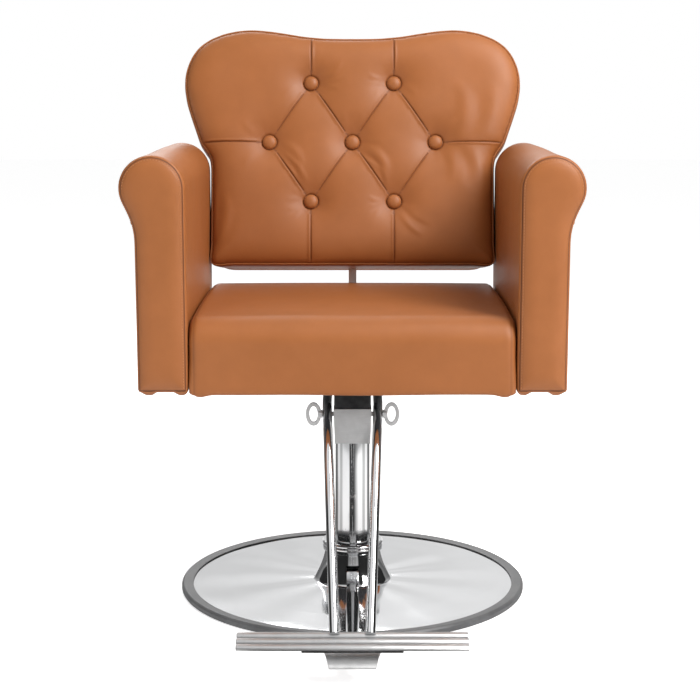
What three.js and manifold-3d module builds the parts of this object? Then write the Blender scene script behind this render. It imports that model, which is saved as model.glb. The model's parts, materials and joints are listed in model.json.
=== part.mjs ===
// Salon styling chair on a hydraulic pump base.
// Millimetres, +Z up. The sitter faces -Y. The origin is on the floor, under the pump's centre line.

import * as THREE from 'three';
import { mergeVertices } from 'three/addons/utils/BufferGeometryUtils.js';
import Module from 'manifold-3d';

const wasm = await Module();
wasm.setup();

// ---------------------------------------------------------------- driving dimensions

const GAP = 0.3; // left between pieces that touch

// base
const BASE_RADIUS = 297;
const TRIM_WIDTH = 20;
const FOOT_PLATE_THICKNESS = 6;
const COVER_THICKNESS = 2;
const COVER_RISE = 4.7; // from the trim ring up to the hub
const TRIM_RISE = 4.5; // trim ring's top above the cover's edge

// pump
const CYLINDER_RADIUS = 30;
const CYLINDER_WALL = 5;
const CYLINDER_TOP_Z = 258;
const CONE_HEIGHT = 53;
const CONE_TOP_MARGIN = 17; // cone's top edge beyond the cylinder
const CONE_FOOT_MARGIN = 38; // cone's foot beyond the cylinder
const CONE_WALL = 3;
const COLLAR_HEIGHT = 16;
const COLLAR_MARGIN = 22.5;
const PUMP_BASE_WALL = 13;
const BUSH_LENGTH = 36;
const BUSH_CAP = 7;
const PISTON_THICKNESS = 18;
const PISTON_Z = 40;
const RAM_RADIUS = 20;
const SLIDE_CLEARANCE = 0.3;

// pedal
const AXLE_RADIUS = 3;
const AXLE_MARGIN = 10; // axle's middle in front of the cylinder
const AXLE_Z = 38;
const LEVER_WIDTH = 20;
const LEVER_THICKNESS = 8;
const LEVER_TIP_Z = 32.5; // middle of the lever's tip
const LEVER_SIDE_GAP = 0.5;
const LEVER_LEVEL = 45; // level part of the lever, in front of the axle
const LEVER_OVERLAP = 18; // lever's tip under the pedal plate
const LUG_HALF_WIDTH = 16;
const LUG_MARGIN = 5.5; // metal round the axle
const PEDAL_REAR_Y = -445;
const PEDAL_LENGTH = 47;
const PEDAL_REAR_WIDTH = 84;
const PEDAL_FRONT_WIDTH = 69;
const PEDAL_THICKNESS = 3;
const PEDAL_DROP = 8; // over its length
const SPRING_WIRE = 1.6;
const SPRING_TURNS = 4;
const SPRING_RADIUS = 3.4;
const SPRING_OFFSET = 9.4; // in front of the axle
const SPRING_SEAT = 4;

// seat
const SEAT_BOTTOM_Z = 386;
const SEAT_THICKNESS = 123;
const SEAT_NOSE_RADIUS = 38;
const SEAT_FRONT_Y = -248;
const SEAT_REAR_Y = 200;
const INNER_WIDTH = 514; // between the arms
const SEAT_SIDE_GAP = 1.5;
const SEAT_HEM = 22; // leather turned in round the board
const BOARD_THICKNESS = 15;
const DUST_COVER_THICKNESS = 1.2;
const SEAT_BOLT_X = 87.4;
const SEAT_BOLT_Y = 62;

// arms
const ARM_FRONT_Y = -254;
const ARM_LENGTH = 474;
const ARM_THICKNESS = 80;
const ARM_LIFT = 3; // arm's lower edge above the seat's
const ARM_ROLL_RISE = 321; // roll's centre above the seat's lower edge
const ARM_ROLL_RADIUS = 51;
const ARM_CORE_THICKNESS = 18;
const ARM_CORE_MARGIN = 16; // padding at the core's ends
const ARM_CORE_DROP = 5; // core's top below the roll's centre
const ARM_BOLT_BITE = 38; // length of bolt in the core
const FACING_THICKNESS = 11.7;

// backrest
const BACK_RECLINE = THREE.MathUtils.degToRad(14);
const BACK_FRONT_Y = 150;
const BACK_SIDE_GAP = 8; // arm to the cushion's lower corner
const BACK_SEAT_CLEARANCE = 34; // seat's top to the cushion's lower front edge
const BACK_CUSHION = 40;
const BACK_BOARD = 18;
const BACK_REAR_PAD = 31.5;
const BACK_BOARD_INSET = 10;
const BUTTON_RADIUS = 13;
const BUTTON_HEIGHT = 7;
const BUTTON_PITCH_X = 149;
const BUTTON_PITCH_H = 107.5;
const BUTTON_ROW_H = 222; // middle row above the cushion's lower edge
const STAY_WIDTH = 14;
const STAY_THICKNESS = 4;
const STAY_REACH = 105; // up the board
const STAY_SCREWS = [40, 85]; // up the board
const STAY_FOOT_INSET = 26; // foot bolt in front of the seat's rear
const SIDE_BOLT_HEIGHT = 40; // up the backrest
const SIDE_BOLT_BITE = 34; // length of bolt in the board
const SIDE_HEAD_RADIUS = 8;
const SIDE_HEAD_HEIGHT = 5;
const BACK_CORNER_RADIUS = 34;
const BACK_DRAWN_HALF = 249; // half width at the foot that the outline below is drawn for

// Lobed outline up the right side, from above the lower corner to the dip in the middle; [half width, height].
const BACK_HALF = [
  [252, 118], [255, 160], [255.8, 180], [259.5, 199], [268, 212], [274.5, 221], [281, 241], [291, 270], [299.5, 297],
  [304, 325], [303.5, 346], [299, 365], [291, 383], [277.5, 400.5], [258, 414], [232, 424.5], [205, 430],
  [180, 431.5], [150, 429], [120, 424.5], [88, 419], [50, 415.5], [16, 415],
];

// seat frame
const FRAME_PLATE = 5.7;
const FRAME_WIDTH = 230;
const FRAME_HALF_LENGTH = 150;
const FRAME_BAR_WIDTH = 34;
const FRAME_BAR_Y = [-112, 116];
const SOCKET_WALL = 8;
const SOCKET_LIFT = 7; // socket's lower end above the bush cap
const GUSSET_HEIGHT = 55;
const GUSSET_REACH = 62;
const GUSSET_THICKNESS = 5;

// footrest
const PIVOT_Y = -183;
const PIVOT_DROP = 44; // below the seat's lower edge
const CLAMP_TOP_WIDTH = 60.6;
const CLAMP_FOOT_WIDTH = 57;
const CLAMP_DEPTH = 33;
const CLAMP_ABOVE_PIVOT = 11;
const CLAMP_BELOW_PIVOT = 45;
const CROSS_BOLT_RADIUS = 4;
const ROD_RADIUS = 7.7;
const ROD_SIDE_GAP = 2.4;
const ROD_FOOT_SPACING = 53.6;
const ROD_HEEL_Y = -132; // hidden rear end of the rods
const ROD_HEEL_DROP = 21;
const TREAD_Y = -470;
const TREAD_Z = 64.5;
const TREAD_TILT = THREE.MathUtils.degToRad(22);
const TREAD_LENGTH = 340;
const TREAD_DEPTH = 38;
const TREAD_THICKNESS = 6;
const TREAD_RIBS = 3;
const GROOVE_WIDTH = 1.6;
const GROOVE_DEPTH = 1.8;
const MOUNT_LENGTH = 149;
const MOUNT_DEPTH = 28;
const MOUNT_THICKNESS = 3;
const MOUNT_BOLT_SPACING = 118;

// ring-handled clamp nuts
const NUT_RADIUS = 7;
const NUT_LENGTH = 7.5;
const RING_HALF_HEIGHT = 19;
const RING_HALF_WIDTH = 12.6;
const RING_BAND = 6;

// fasteners
const BOLT_RADIUS = 4;
const BOLT_HEAD_RADIUS = 7;
const BOLT_HEAD_HEIGHT = 4.5;
const SCREW_RADIUS = 2.5;
const SCREW_HEAD_RADIUS = 5;
const SCREW_HEAD_HEIGHT = 2.8;
const HOLE_CLEARANCE = 0.4;
const THREAD_END = 1; // air at the end of a blind hole

// fineness of round shapes
const FINE = 48;
const MEDIUM = 28;
const COARSE = 14;

// ---------------------------------------------------------------- finishes

const finish = (color, roughness, metalness) => new THREE.MeshStandardMaterial({ color, roughness, metalness });
const leather = finish(0xb8744c, 0.48, 0);
const chrome = finish(0xd8d9dc, 0.08, 1);
const satinSteel = finish(0xaeb0b2, 0.4, 0.9);
const trimGrey = finish(0x6b6e72, 0.5, 0.3);
const blackSteel = finish(0x1c1c1e, 0.45, 0.6);
const castIron = finish(0x3c3d40, 0.6, 0.7);
const plywood = finish(0xc7a26d, 0.75, 0);
const dustCloth = finish(0x17171a, 0.9, 0);
const zinc = finish(0xb9bcc0, 0.35, 0.9);

// ---------------------------------------------------------------- geometry helpers

const X_AXIS = new THREE.Vector3(1, 0, 0);
const Y_AXIS = new THREE.Vector3(0, 1, 0);
const Z_AXIS = new THREE.Vector3(0, 0, 1);

function signedVolume(geometry) {
  const p = geometry.getAttribute('position');
  const index = geometry.getIndex();
  const corners = [new THREE.Vector3(), new THREE.Vector3(), new THREE.Vector3()];
  let volume = 0;
  for (let i = 0; i < index.count; i += 3) {
    corners.forEach((corner, k) => corner.fromBufferAttribute(p, index.getX(i + k)));
    volume += corners[0].dot(corners[1].clone().cross(corners[2])) / 6;
  }
  return volume;
}

// A closed mesh with shared corners and its faces pointing out.
function closed(source) {
  const bare = source.clone();
  bare.deleteAttribute('normal');
  bare.deleteAttribute('uv');
  const geometry = mergeVertices(bare, 1e-4);
  const index = geometry.getIndex();
  const kept = [];
  for (let i = 0; i < index.count; i += 3) {
    const [a, b, c] = [index.getX(i), index.getX(i + 1), index.getX(i + 2)];
    if (a !== b && b !== c && c !== a) kept.push(a, b, c);
  }
  geometry.setIndex(kept);
  if (signedVolume(geometry) < 0) {
    for (let i = 0; i < kept.length; i += 3) [kept[i], kept[i + 1]] = [kept[i + 1], kept[i]];
    geometry.setIndex(kept);
  }
  return geometry;
}

function toManifold(source) {
  const geometry = closed(source);
  return new wasm.Manifold(new wasm.Mesh({
    numProp: 3,
    vertProperties: new Float32Array(geometry.getAttribute('position').array),
    triVerts: new Uint32Array(geometry.getIndex().array),
  }));
}

function toGeometry(manifold) {
  const mesh = manifold.getMesh();
  const geometry = new THREE.BufferGeometry();
  geometry.setAttribute('position', new THREE.BufferAttribute(new Float32Array(mesh.vertProperties), 3));
  geometry.setIndex(Array.from(mesh.triVerts));
  return geometry;
}

function cut(source, ...tools) {
  return toGeometry(tools.reduce((body, tool) => body.subtract(toManifold(tool)), toManifold(source)));
}

function join(source, ...others) {
  return toGeometry(others.reduce((body, other) => body.add(toManifold(other)), toManifold(source)));
}

const box = (x0, x1, y0, y1, z0, z1) => new THREE.BoxGeometry(x1 - x0, y1 - y0, z1 - z0)
  .translate((x0 + x1) / 2, (y0 + y1) / 2, (z0 + z1) / 2);

// Turned about Z from a profile of [radius, z] corners that closes on itself.
function turned(profile, segments) {
  const points = profile.map(([r, z]) => new THREE.Vector2(r, z));
  points.push(points[0].clone());
  return closed(new THREE.LatheGeometry(points, segments).rotateX(Math.PI / 2));
}

const rod = (radius, length, segments = COARSE) => new THREE.CylinderGeometry(radius, radius, length, segments);
const rodX = (radius, x0, x1, y, z, segments) => rod(radius, x1 - x0, segments)
  .rotateZ(Math.PI / 2).translate((x0 + x1) / 2, y, z);
const rodZ = (radius, x, y, z0, z1, segments) => rod(radius, z1 - z0, segments)
  .rotateX(Math.PI / 2).translate(x, y, (z0 + z1) / 2);

function extrude(shape, depth, curveSegments = 6) {
  return new THREE.ExtrudeGeometry(shape, { depth, bevelEnabled: false, curveSegments });
}

// Shape drawn in (Y, Z), running from x0 to x1.
function alongX(shape, x0, x1, curveSegments) {
  const turn = new THREE.Matrix4().makeBasis(Y_AXIS, Z_AXIS, X_AXIS);
  return extrude(shape, x1 - x0, curveSegments).applyMatrix4(turn).translate(x0, 0, 0);
}

// Shape drawn in (X, Z), running from y0 to y1.
function alongY(shape, y0, y1, curveSegments) {
  const turn = new THREE.Matrix4().makeBasis(X_AXIS, Z_AXIS, Y_AXIS.clone().negate());
  return extrude(shape, y1 - y0, curveSegments).applyMatrix4(turn).translate(0, y1, 0);
}

const polygon = (points) => new THREE.Shape(points.map(([a, b]) => new THREE.Vector2(a, b)));

// A hexagon-headed bolt standing along +Z, its head's underside at z = 0.
function bolt(shankLength, shankRadius = BOLT_RADIUS, headRadius = BOLT_HEAD_RADIUS,
  headHeight = BOLT_HEAD_HEIGHT) {
  const head = new THREE.CylinderGeometry(headRadius, headRadius, headHeight, 6).rotateX(Math.PI / 2)
    .translate(0, 0, -headHeight / 2);
  return join(head, rodZ(shankRadius, 0, 0, -headHeight / 2, shankLength, 12));
}

const chair = new THREE.Group();

function add(name, geometry, material, parent = chair) {
  const mesh = new THREE.Mesh(closed(geometry), material);
  mesh.name = name;
  parent.add(mesh);
  return mesh;
}

const SIDES = [['left', -1], ['right', 1]];

// Mirrored across the chair's middle plane for side -1.
const forSide = (geometry, side) => (side < 0 ? geometry.clone().scale(-1, 1, 1) : geometry);

// ---------------------------------------------------------------- places worked out from the sizes

const TRIM_TOP_Z = FOOT_PLATE_THICKNESS + COVER_THICKNESS + TRIM_RISE;
const COVER_HUB_Z = FOOT_PLATE_THICKNESS + COVER_THICKNESS + GAP + COVER_RISE;
const CONE_FOOT_Z = COVER_HUB_Z + GAP;
const COLLAR_Z = CONE_FOOT_Z + CONE_HEIGHT + GAP;
const BORE_RADIUS = CYLINDER_RADIUS - CYLINDER_WALL;
const AXLE_OFFSET = CYLINDER_RADIUS + AXLE_MARGIN;
const BUSH_TOP_Z = CYLINDER_TOP_Z + GAP + BUSH_CAP;
const RAM_Z = PISTON_Z + PISTON_THICKNESS + GAP;
const SEAT_TOP_Z = SEAT_BOTTOM_Z + SEAT_THICKNESS;
const SEAT_HALF_WIDTH = INNER_WIDTH / 2 - SEAT_SIDE_GAP;
const FRAME_BOTTOM_Z = SEAT_BOTTOM_Z - FRAME_PLATE;
const RAM_TOP_Z = FRAME_BOTTOM_Z - GAP;
const BOARD_Z = SEAT_BOTTOM_Z + GAP + DUST_COVER_THICKNESS + GAP;
const BOARD_TOP_Z = BOARD_Z + BOARD_THICKNESS;
const ARM_INNER_X = INNER_WIDTH / 2;
const ARM_MIDDLE_X = ARM_INNER_X + ARM_THICKNESS / 2;
const ARM_OUTER_X = ARM_INNER_X + ARM_THICKNESS;
const ARM_BOTTOM_Z = SEAT_BOTTOM_Z + ARM_LIFT;
const ARM_ROLL_Z = SEAT_BOTTOM_Z + ARM_ROLL_RISE;
const ARM_REAR_Y = ARM_FRONT_Y + ARM_LENGTH;
const BACK_Z = SEAT_TOP_Z + BACK_SEAT_CLEARANCE;
const BACK_BOARD_DEPTH = BACK_CUSHION + GAP;
const BACK_REAR_DEPTH = BACK_BOARD_DEPTH + BACK_BOARD + GAP;
const BACK_FOOT_HALF = ARM_INNER_X - BACK_SIDE_GAP;
const STAY_POCKET = STAY_THICKNESS + SCREW_HEAD_HEIGHT + 1.2;
const PIVOT_Z = SEAT_BOTTOM_Z - PIVOT_DROP;
const ROD_X = CLAMP_TOP_WIDTH / 2 + ROD_SIDE_GAP + ROD_RADIUS;
const NUT_X = ROD_X + ROD_RADIUS + GAP;
const HOLE = BOLT_RADIUS + HOLE_CLEARANCE;

// Height up the backrest and depth behind its front, as Y and Z.
const backPlace = (height, depth) => [
  BACK_FRONT_Y + height * Math.sin(BACK_RECLINE) + depth * Math.cos(BACK_RECLINE),
  BACK_Z + height * Math.cos(BACK_RECLINE) - depth * Math.sin(BACK_RECLINE),
];

// ---------------------------------------------------------------- base

function buildBase() {
  const trimInner = BASE_RADIUS - TRIM_WIDTH;
  const plateRadius = BASE_RADIUS - TRIM_WIDTH * 0.6;
  const coverEdge = plateRadius - 1;
  const coverFloor = FOOT_PLATE_THICKNESS + GAP;
  const coverTop = coverFloor + COVER_THICKNESS;
  const hubRadius = CYLINDER_RADIUS + CONE_FOOT_MARGIN + 2;
  const shoulder = BASE_RADIUS * 0.67;
  const shoulderRise = COVER_RISE * 0.5;
  const plate = [[0, 0], [plateRadius, 0], [plateRadius, FOOT_PLATE_THICKNESS], [0, FOOT_PLATE_THICKNESS]];
  add('base_plate', turned(plate, FINE), castIron);

  const inner = CYLINDER_RADIUS + 4;
  const cover = [
    [inner, coverFloor + COVER_RISE], [hubRadius, coverFloor + COVER_RISE],
    [shoulder, coverFloor + shoulderRise], [coverEdge, coverFloor],
    [coverEdge, coverTop], [shoulder, coverTop + shoulderRise],
    [hubRadius, coverTop + COVER_RISE], [inner, coverTop + COVER_RISE],
  ];
  add('base_cover', turned(cover, FINE), chrome);

  const lipZ = coverTop + 0.7;
  const ringFoot = plateRadius + GAP;
  const trim = [
    [ringFoot, 0], [BASE_RADIUS - 2, 0], [BASE_RADIUS, 2.5], [BASE_RADIUS, TRIM_TOP_Z - 3.5],
    [BASE_RADIUS - 4, TRIM_TOP_Z], [trimInner, lipZ + 1.8], [trimInner, lipZ], [ringFoot, lipZ],
  ];
  add('base_trim_ring', turned(trim, FINE), trimGrey);
}

// ---------------------------------------------------------------- pump

function coneOutline() {
  const foot = CYLINDER_RADIUS + CONE_FOOT_MARGIN;
  const top = CYLINDER_RADIUS + CONE_TOP_MARGIN;
  const steps = 5;
  const hollow = 2.5; // the cone's sides curve in by this much
  const outer = [];
  for (let i = 0; i <= steps; i += 1) {
    const t = i / steps;
    outer.push([foot + (top - foot) * t - hollow * Math.sin(Math.PI * t), CONE_FOOT_Z + CONE_HEIGHT * t]);
  }
  const inner = outer.map(([r, z]) => [r - CONE_WALL, z]).reverse();
  return [...outer, ...inner];
}

function buildPump() {
  const leverSlot = LEVER_WIDTH / 2 + LEVER_SIDE_GAP;
  const coneFoot = CYLINDER_RADIUS + CONE_FOOT_MARGIN;
  const coneSlot = box(-leverSlot - 1, leverSlot + 1, -coneFoot - 1, -CYLINDER_RADIUS,
    AXLE_Z - LEVER_THICKNESS * 2, AXLE_Z + LEVER_THICKNESS * 1.2);
  add('hub_cone', cut(turned(coneOutline(), MEDIUM), coneSlot), chrome);

  const collarOuter = CYLINDER_RADIUS + COLLAR_MARGIN;
  const collarInner = CYLINDER_RADIUS + GAP;
  const collarTop = COLLAR_Z + COLLAR_HEIGHT;
  const collar = [
    [collarInner, COLLAR_Z], [collarOuter, COLLAR_Z], [collarOuter, collarTop - 2.5],
    [collarOuter - 2.5, collarTop], [collarInner, collarTop],
  ];
  add('hub_collar', turned(collar, MEDIUM), chrome);

  const baseOuter = CYLINDER_RADIUS + PUMP_BASE_WALL;
  const baseInner = CYLINDER_RADIUS + GAP;
  const baseTop = COLLAR_Z - 2;
  const lugTop = AXLE_Z + 8;
  const lugFront = -AXLE_OFFSET - LUG_MARGIN;
  const tube = turned([[baseInner, CONE_FOOT_Z], [baseOuter, CONE_FOOT_Z], [baseOuter, baseTop],
    [baseInner, baseTop]], MEDIUM);
  const lugs = cut(box(-LUG_HALF_WIDTH, LUG_HALF_WIDTH, lugFront, -CYLINDER_RADIUS, CONE_FOOT_Z, lugTop),
    rodZ(baseInner + 0.01, 0, 0, CONE_FOOT_Z - 1, lugTop + 1, MEDIUM));
  const seatFront = -AXLE_OFFSET - SPRING_OFFSET - SPRING_RADIUS - 2;
  const springSeat = box(-leverSlot, leverSlot, seatFront, lugFront + 1, CONE_FOOT_Z, CONE_FOOT_Z + SPRING_SEAT);
  const leverRoom = box(-leverSlot, leverSlot, lugFront - 1, -CYLINDER_RADIUS - GAP, CONE_FOOT_Z + SPRING_SEAT,
    lugTop + 3);
  const axleBore = rodX(AXLE_RADIUS + GAP, -LUG_HALF_WIDTH - 1, LUG_HALF_WIDTH + 1, -AXLE_OFFSET, AXLE_Z);
  add('pump_base', cut(join(tube, lugs, springSeat), leverRoom, axleBore), castIron);

  const shaft = [[BORE_RADIUS, CONE_FOOT_Z], [CYLINDER_RADIUS, CONE_FOOT_Z], [CYLINDER_RADIUS, CYLINDER_TOP_Z],
    [BORE_RADIUS, CYLINDER_TOP_Z]];
  add('pump_cylinder', turned(shaft, MEDIUM), chrome);

  const guide = RAM_RADIUS + SLIDE_CLEARANCE;
  const bush = [
    [guide, CYLINDER_TOP_Z - BUSH_LENGTH], [BORE_RADIUS - GAP, CYLINDER_TOP_Z - BUSH_LENGTH],
    [BORE_RADIUS - GAP, CYLINDER_TOP_Z + GAP], [CYLINDER_RADIUS, CYLINDER_TOP_Z + GAP],
    [CYLINDER_RADIUS, BUSH_TOP_Z - 2], [CYLINDER_RADIUS - 2, BUSH_TOP_Z], [guide, BUSH_TOP_Z],
  ];
  add('gland_bush', turned(bush, MEDIUM), blackSteel);
  const piston = rodZ(BORE_RADIUS - SLIDE_CLEARANCE, 0, 0, PISTON_Z, PISTON_Z + PISTON_THICKNESS, MEDIUM);
  add('piston_head', piston, satinSteel);
  add('ram', rodZ(RAM_RADIUS, 0, 0, RAM_Z, RAM_TOP_Z, MEDIUM), chrome);
}

// ---------------------------------------------------------------- pedal

class UprightHelix extends THREE.Curve {
  constructor(radius, turns, y, z0, z1) {
    super();
    Object.assign(this, { radius, turns, y, z0, z1 });
  }

  getPoint(t, target = new THREE.Vector3()) {
    const angle = 2 * Math.PI * this.turns * t;
    const z = this.z0 + (this.z1 - this.z0) * t;
    return target.set(this.radius * Math.cos(angle), this.y + this.radius * Math.sin(angle), z);
  }
}

function buildPedal() {
  const half = LEVER_THICKNESS / 2;
  const eye = AXLE_RADIUS + 4;
  const kneeY = -AXLE_OFFSET - LEVER_LEVEL;
  const tipY = PEDAL_REAR_Y - LEVER_OVERLAP;
  const plateTop = LEVER_TIP_Z + half + GAP + PEDAL_THICKNESS;

  const arm = new THREE.Shape();
  arm.moveTo(-AXLE_OFFSET, AXLE_Z - half);
  arm.lineTo(kneeY, AXLE_Z - half);
  arm.lineTo(PEDAL_REAR_Y, LEVER_TIP_Z - half);
  arm.lineTo(tipY, LEVER_TIP_Z - half);
  arm.lineTo(tipY, LEVER_TIP_Z + half);
  arm.lineTo(PEDAL_REAR_Y, LEVER_TIP_Z + half);
  arm.lineTo(kneeY, AXLE_Z + half);
  arm.lineTo(-AXLE_OFFSET, AXLE_Z + half);
  arm.closePath();
  const lever = join(alongX(arm, -LEVER_WIDTH / 2, LEVER_WIDTH / 2),
    rodX(eye, -LEVER_WIDTH / 2, LEVER_WIDTH / 2, -AXLE_OFFSET, AXLE_Z, 20));
  const bore = rodX(AXLE_RADIUS + GAP, -LEVER_WIDTH, LEVER_WIDTH, -AXLE_OFFSET, AXLE_Z);
  add('pedal_lever', cut(lever, bore), chrome);

  const outline = polygon([
    [-PEDAL_REAR_WIDTH / 2, 0], [PEDAL_REAR_WIDTH / 2, 0],
    [PEDAL_FRONT_WIDTH / 2, -PEDAL_LENGTH], [-PEDAL_FRONT_WIDTH / 2, -PEDAL_LENGTH],
  ]);
  const flat = 20; // the rear part that sits on the lever
  const plate = extrude(outline, PEDAL_THICKNESS);
  const room = PEDAL_REAR_WIDTH;
  const level = cut(plate, box(-room, room, -PEDAL_LENGTH - 1, -flat, -1, PEDAL_THICKNESS + 1));
  const toe = cut(plate, box(-room, room, -flat + 0.01, 1, -1, PEDAL_THICKNESS + 1));
  const slope = Math.atan2(PEDAL_DROP, PEDAL_LENGTH - flat);
  toe.translate(0, flat, 0).rotateX(slope).translate(0, -flat, 0);
  const pedal = join(level, toe).translate(0, PEDAL_REAR_Y, plateTop - PEDAL_THICKNESS);
  add('pedal_plate', pedal, chrome);

  add('pedal_axle', rodX(AXLE_RADIUS, -LUG_HALF_WIDTH + 0.5, LUG_HALF_WIDTH - 0.5, -AXLE_OFFSET, AXLE_Z), zinc);

  const springFoot = CONE_FOOT_Z + SPRING_SEAT + SPRING_WIRE / 2 + GAP;
  const springHead = AXLE_Z - half - SPRING_WIRE / 2 - GAP;
  const springY = -AXLE_OFFSET - SPRING_OFFSET;
  const coil = new UprightHelix(SPRING_RADIUS, SPRING_TURNS, springY, springFoot, springHead);
  const wire = new THREE.Shape().absarc(0, 0, SPRING_WIRE / 2, 0, 2 * Math.PI);
  const steps = SPRING_TURNS * 10;
  const spring = new THREE.ExtrudeGeometry(wire, { steps, extrudePath: coil, curveSegments: 3 });
  add('pedal_return_spring', spring, blackSteel);
}

// ---------------------------------------------------------------- seat

function seatOutline() {
  const s = new THREE.Shape();
  const crown = 4; // the middle of the seat stands this much above its edges
  const edgeZ = SEAT_TOP_Z - crown;
  s.moveTo(SEAT_REAR_Y, SEAT_BOTTOM_Z);
  s.lineTo(SEAT_REAR_Y, edgeZ - 12);
  s.quadraticCurveTo(SEAT_REAR_Y, edgeZ, SEAT_REAR_Y - 12, edgeZ);
  s.quadraticCurveTo(0, SEAT_TOP_Z + crown, SEAT_FRONT_Y + SEAT_NOSE_RADIUS, edgeZ);
  s.quadraticCurveTo(SEAT_FRONT_Y, edgeZ, SEAT_FRONT_Y, edgeZ - SEAT_NOSE_RADIUS);
  s.lineTo(SEAT_FRONT_Y, SEAT_BOTTOM_Z);
  s.closePath();
  return s;
}

const SEAT_BOLTS = [[-1, -1], [1, -1], [-1, 1], [1, 1]].map(([i, j]) => [i * SEAT_BOLT_X, j * SEAT_BOLT_Y]);
const ARM_BOLTS = FRAME_BAR_Y.flatMap((y) => [[-ARM_MIDDLE_X, y], [ARM_MIDDLE_X, y]]);
const STAY_FOOT_Y = SEAT_REAR_Y - STAY_FOOT_INSET;

function buildSeat() {
  const pocketX = SEAT_HALF_WIDTH - SEAT_HEM;
  const pocketFront = SEAT_FRONT_Y + SEAT_HEM;
  const pocketRear = SEAT_REAR_Y - SEAT_HEM * 0.5;
  const pocket = box(-pocketX, pocketX, pocketFront, pocketRear, SEAT_BOTTOM_Z - 1, BOARD_TOP_Z + GAP);
  const cushion = alongX(seatOutline(), -SEAT_HALF_WIDTH, SEAT_HALF_WIDTH);
  add('seat_cushion', cut(cushion, pocket), leather);

  const boltHoles = [...SEAT_BOLTS, [0, STAY_FOOT_Y]];
  const drill = (z0, z1) => boltHoles.map(([x, y]) => rodZ(HOLE, x, y, z0, z1, 12));
  const board = box(-pocketX + GAP, pocketX - GAP, pocketFront + GAP, pocketRear - GAP, BOARD_Z, BOARD_TOP_Z);
  add('seat_board', cut(board, ...drill(BOARD_Z - 1, BOARD_TOP_Z + 1)), plywood);
  const cloth = box(-pocketX + GAP, pocketX - GAP, pocketFront + GAP, pocketRear - GAP,
    SEAT_BOTTOM_Z + GAP, SEAT_BOTTOM_Z + GAP + DUST_COVER_THICKNESS);
  add('dust_cover', cut(cloth, ...drill(SEAT_BOTTOM_Z - 1, BOARD_Z)), dustCloth);
}

function buildSeatFrame() {
  const socketZ = BUSH_TOP_Z + SOCKET_LIFT;
  const socketInner = RAM_RADIUS + SLIDE_CLEARANCE;
  const socketOuter = socketInner + SOCKET_WALL;
  const barEnd = ARM_MIDDLE_X + FRAME_BAR_WIDTH / 2;
  const frameFront = PIVOT_Y - CLAMP_DEPTH / 2;
  const plate = box(-FRAME_WIDTH / 2, FRAME_WIDTH / 2, frameFront, FRAME_HALF_LENGTH,
    FRAME_BOTTOM_Z, SEAT_BOTTOM_Z);
  const bars = FRAME_BAR_Y.map((y) => box(-barEnd, barEnd, y - FRAME_BAR_WIDTH / 2, y + FRAME_BAR_WIDTH / 2,
    FRAME_BOTTOM_Z, SEAT_BOTTOM_Z));
  const socket = turned([[socketInner, socketZ], [socketOuter, socketZ], [socketOuter, FRAME_BOTTOM_Z + 1],
    [socketInner, FRAME_BOTTOM_Z + 1]], MEDIUM);
  const rib = polygon([[socketInner + 2, FRAME_BOTTOM_Z + 1], [GUSSET_REACH, FRAME_BOTTOM_Z + 1],
    [GUSSET_REACH, FRAME_BOTTOM_Z - 8], [socketInner + 2, FRAME_BOTTOM_Z - GUSSET_HEIGHT]]);
  const gussets = [0, 1, 2, 3].map((i) => alongY(rib, -GUSSET_THICKNESS / 2, GUSSET_THICKNESS / 2)
    .rotateZ(Math.PI / 4 + i * Math.PI / 2));
  const holes = [...SEAT_BOLTS, ...ARM_BOLTS]
    .map(([x, y]) => rodZ(HOLE, x, y, FRAME_BOTTOM_Z - 1, SEAT_BOTTOM_Z + 1, 12));
  add('seat_frame', cut(join(plate, ...bars, socket, ...gussets), ...holes), blackSteel);

  SEAT_BOLTS.forEach(([x, y], i) => {
    const length = BOARD_TOP_Z - THREAD_END - FRAME_BOTTOM_Z;
    add(`seat_bolt_${i + 1}`, bolt(length), zinc).position.set(x, y, FRAME_BOTTOM_Z - GAP);
  });
  ARM_BOLTS.forEach(([x, y], i) => {
    const length = ARM_BOTTOM_Z + ARM_BOLT_BITE - FRAME_BOTTOM_Z;
    add(`arm_bolt_${i + 1}`, bolt(length), zinc).position.set(x, y, FRAME_BOTTOM_Z - GAP);
  });
}

// ---------------------------------------------------------------- arms

// The arm's end view, drawn for the right arm; inset draws it smaller all round.
function armOutline(inset = 0) {
  const r = ARM_ROLL_RADIUS - inset;
  const rollX = ARM_INNER_X + ARM_ROLL_RADIUS;
  const inner = ARM_INNER_X + inset;
  const outer = ARM_OUTER_X - inset;
  const end = -Math.PI / 4;
  const s = new THREE.Shape();
  s.moveTo(outer - 1.5, ARM_BOTTOM_Z + inset);
  s.lineTo(outer, ARM_ROLL_Z - ARM_ROLL_RADIUS * 1.16);
  s.quadraticCurveTo(outer, ARM_ROLL_Z - ARM_ROLL_RADIUS * 0.85, rollX + r * Math.cos(end),
    ARM_ROLL_Z + r * Math.sin(end));
  s.absarc(rollX, ARM_ROLL_Z, r, end, Math.PI, false);
  s.lineTo(inner, ARM_BOTTOM_Z + inset);
  s.closePath();
  return s;
}

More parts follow.
